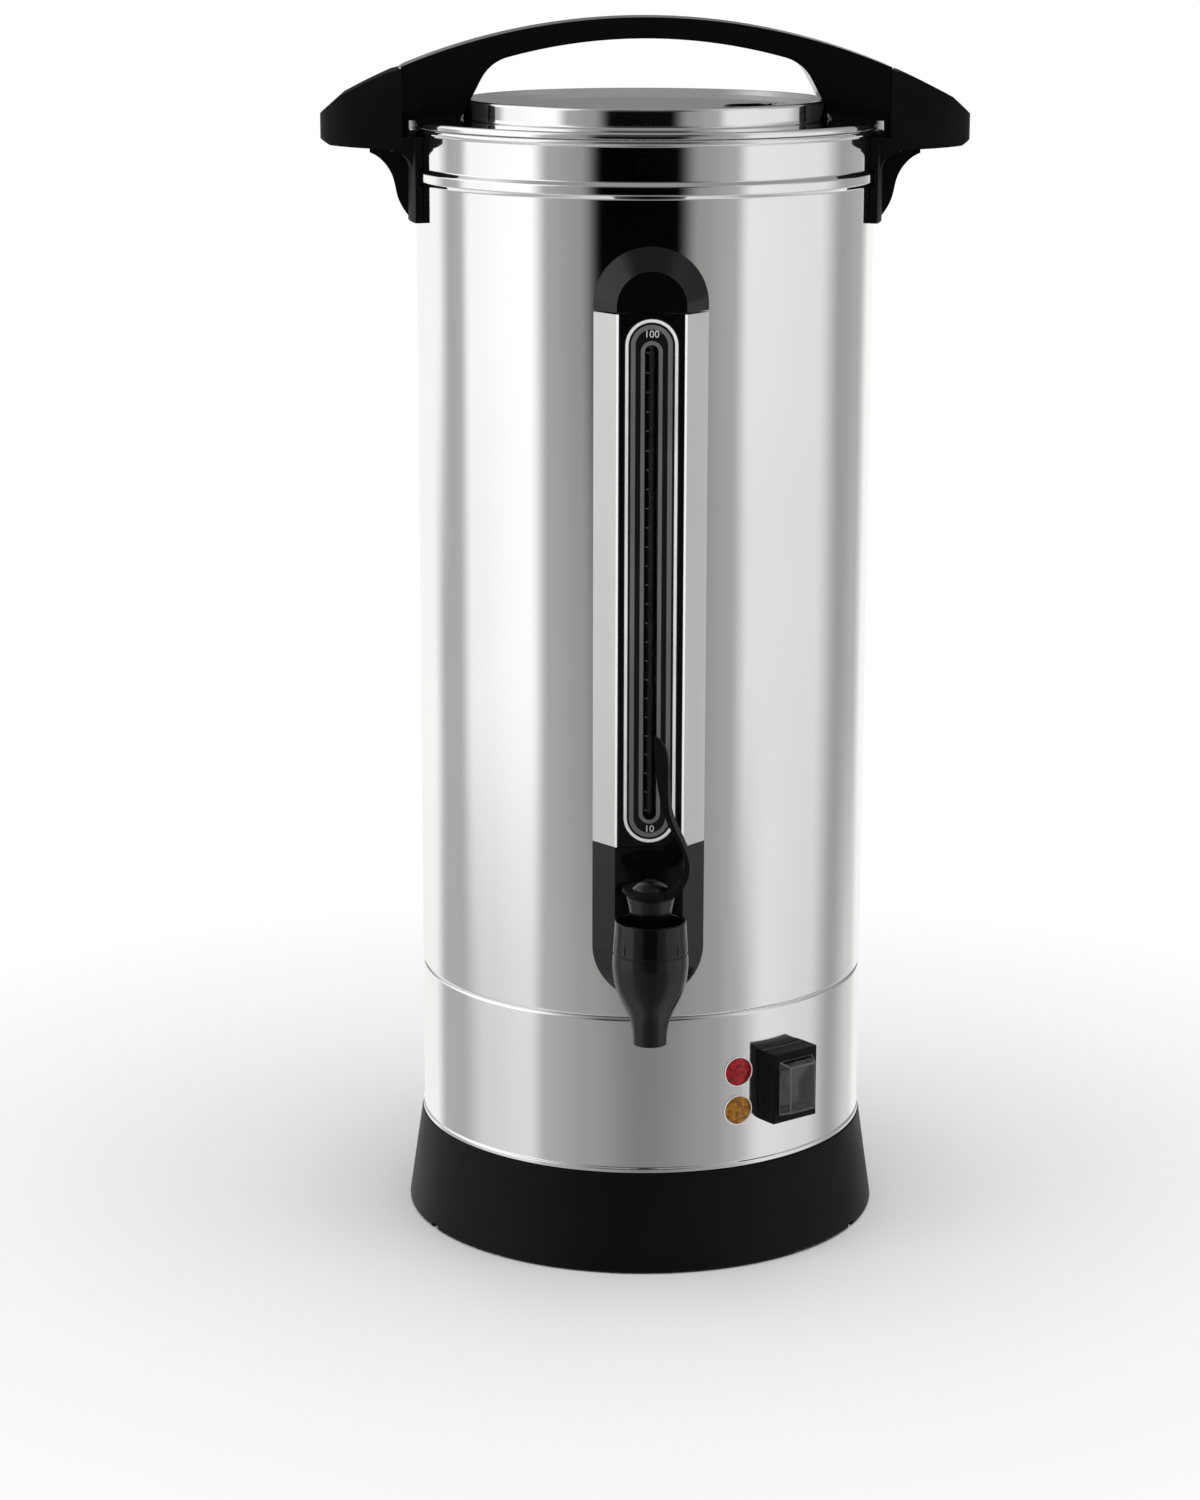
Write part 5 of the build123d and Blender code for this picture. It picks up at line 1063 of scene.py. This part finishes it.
# Area lamps: name, place, size in metres and power in watts. All aim at the same point.
LAMPS = (
    ("lamp_over", (0.1, -0.3, 1.9), 1.4, 9.0),
    ("lamp_left", (-1.6, -0.9, 1.1), 1.1, 6.0),
    ("lamp_right", (1.6, -0.7, 1.0), 1.1, 5.0),
)
LAMP_AIM = (0, 0, 0.25)

SENSOR = 36.0  # width in millimetres
CLIP_NEAR, CLIP_FAR = 0.01, 50.0

FLOOR_SIZE = 8.0
FLOOR_GREYS = ((0.84, 0.84, 0.84), (0.86, 0.86, 0.86))
FLOOR_FADE = (0.16, 0.55)  # distances between which the floor passes into white
WHITE = (1, 1, 1, 1)


def linear(value):
    """Light that a screen shows as this share of white, by the sRGB curve."""
    return value / 12.92 if value <= 0.04045 else ((value + 0.055) / 1.055) ** 2.4


def bands(tree, azimuth, stops):
    """Ramp of soft panels round the object, from (azimuth, brightness) stops."""
    ramp = tree.node("ShaderNodeValToRGB", {"Fac": azimuth})
    elements = ramp.color_ramp.elements
    ramp.color_ramp.interpolation = "EASE"
    while len(elements) < len(stops):
        elements.new(0.5)
    for element, (degree, value) in zip(elements, stops):
        element.position = (degree + 180) / 360
        element.color = (*(linear(value),) * 3, 1.0)
    return ramp.outputs["Color"]


class URN_OT_stage(UrnStep):
    """Camera, floor, soft panels and area lamps"""

    bl_idname = "urn.stage"
    bl_label = "Stage"

    def execute(self, context):
        self.camera(context)
        self.floor()
        self.world(context)
        self.lamps()
        return {"FINISHED"}

    def camera(self, context):
        view = context.scene.urn_view
        data = bpy.data.cameras.new("camera")
        data.sensor_width = SENSOR
        data.lens = view.lens
        data.clip_start, data.clip_end = CLIP_NEAR, CLIP_FAR
        camera = bpy.data.objects.new("camera", data)
        context.scene.collection.objects.link(camera)
        spot = Matrix.Rotation(view.azimuth, 4, "Z") @ Vector((0, -view.distance, view.height))
        camera.matrix_world = (
            Matrix.Translation(spot)
            @ Matrix.Rotation(-view.heading, 4, "Z")
            @ Matrix.Rotation(pi / 2 - view.tilt, 4, "X")
            @ Matrix.Rotation(view.roll, 4, "Z")
        )
        context.scene.camera = camera

    def floor(self):
        deselect()
        bpy.ops.mesh.primitive_plane_add(size=FLOOR_SIZE)
        floor = bpy.context.object
        floor.name = "floor"
        paint = Finish("floor_paint")
        paint.set(Roughness=0.6, Specular_IOR_Level=0.2)
        paint.veiled(3.0, 2.0, *FLOOR_GREYS)
        away = paint.node("ShaderNodeVectorMath", {0: paint.coordinates}, operation="LENGTH")
        fade = paint.spread(away.outputs["Value"], 0.0, 1.0, *FLOOR_FADE)
        seen = paint.node("ShaderNodeLightPath").outputs["Is Camera Ray"]
        far = paint.reckon("MULTIPLY", seen, fade)
        glow = paint.node("ShaderNodeEmission", {"Color": WHITE, "Strength": 1.0})
        paint.show(paint.over(far, paint.shader, glow))
        floor.data.materials.append(paint.material)
        floor.visible_glossy = False
        floor.visible_transmission = False

    def world(self, context):
        """Panels in reflections, soft light on dull faces and white behind the object."""
        world = bpy.data.worlds.new("studio")
        world.use_nodes = True
        context.scene.world = world
        tree = Tree(world.node_tree)
        way = tree.node("ShaderNodeTexCoord").outputs["Generated"]
        parts = tree.node("ShaderNodeSeparateXYZ", {0: way}).outputs
        azimuth = tree.reckon("ARCTAN2", parts["X"], tree.reckon("MULTIPLY", parts["Y"], -1.0))
        around = tree.reckon("MULTIPLY_ADD", azimuth, 1 / (2 * pi), 0.5)
        rows = (STUDIO_HIGH, STUDIO_MIDDLE, STUDIO_LOW, STUDIO_ABOVE)
        colour, middle, low, above = (bands(tree, around, stops) for stops in rows)
        for levels, further in (
            (HIGH_TO_MIDDLE, middle),
            (MIDDLE_TO_LOW, low),
            (FRONT_TO_ABOVE, above),
            (ABOVE_TO_CEILING, CEILING),
        ):
            colour = tree.mixed(tree.between(parts["Z"], *levels), colour, further)
        rays = tree.node("ShaderNodeLightPath").outputs
        panels, soft, white = (
            tree.node("ShaderNodeBackground", {"Color": shown, "Strength": strength})
            for shown, strength in ((colour, PANEL_LIGHT), (WHITE, SOFT_LIGHT), (WHITE, 1.0))
        )
        seen = tree.reckon("MAXIMUM", rays["Is Camera Ray"], rays["Is Transmission Ray"])
        tree.show(tree.over(seen, tree.over(rays["Is Glossy Ray"], soft, panels), white))

    def lamps(self):
        for name, spot, size, power in LAMPS:
            data = bpy.data.lights.new(name, "AREA")
            data.size = size
            data.energy = power
            lamp = bpy.data.objects.new(name, data)
            bpy.context.scene.collection.objects.link(lamp)
            lamp.location = spot
            aim = Vector(LAMP_AIM) - Vector(spot)
            lamp.rotation_euler = aim.to_track_quat("-Z", "Y").to_euler()
            lamp.visible_glossy = False
            lamp.visible_camera = False


# ---------------------------------------------------------------- panel and run


STEPS = (
    URN_OT_finishes,
    URN_OT_tank,
    URN_OT_skirt,
    URN_OT_lid,
    URN_OT_mouldings,
    URN_OT_gauge,
    URN_OT_tap,
    URN_OT_switch,
    URN_OT_lamps,
    URN_OT_stage,
)


class URN_PT_panel(bpy.types.Panel):
    """Lists the steps and their sizes"""

    bl_idname = "URN_PT_panel"
    bl_label = "Coffee urn"
    bl_space_type = "VIEW_3D"
    bl_region_type = "UI"
    bl_category = "Urn"

    def draw(self, context):
        for step in STEPS:
            self.layout.operator(step.bl_idname)
        for group in (context.scene.urn_sizes, context.scene.urn_colours, context.scene.urn_view):
            box = self.layout.box()
            for name in group.__annotations__:
                box.prop(group, name)


GROUPS = {"urn_sizes": UrnSizes, "urn_colours": UrnColours, "urn_view": UrnView}


def register():
    for cls in (*GROUPS.values(), *STEPS, URN_PT_panel):
        bpy.utils.register_class(cls)
    for name, group in GROUPS.items():
        setattr(bpy.types.Scene, name, bpy.props.PointerProperty(type=group))


def unregister():
    for name in GROUPS:
        delattr(bpy.types.Scene, name)
    for cls in reversed((*GROUPS.values(), *STEPS, URN_PT_panel)):
        bpy.utils.unregister_class(cls)


def main():
    register()
    bpy.context.scene.view_settings.view_transform = "Standard"
    for step in STEPS:
        module, name = step.bl_idname.split(".")
        getattr(getattr(bpy.ops, module), name)()
    deselect()


if __name__ == "__main__":
    main()
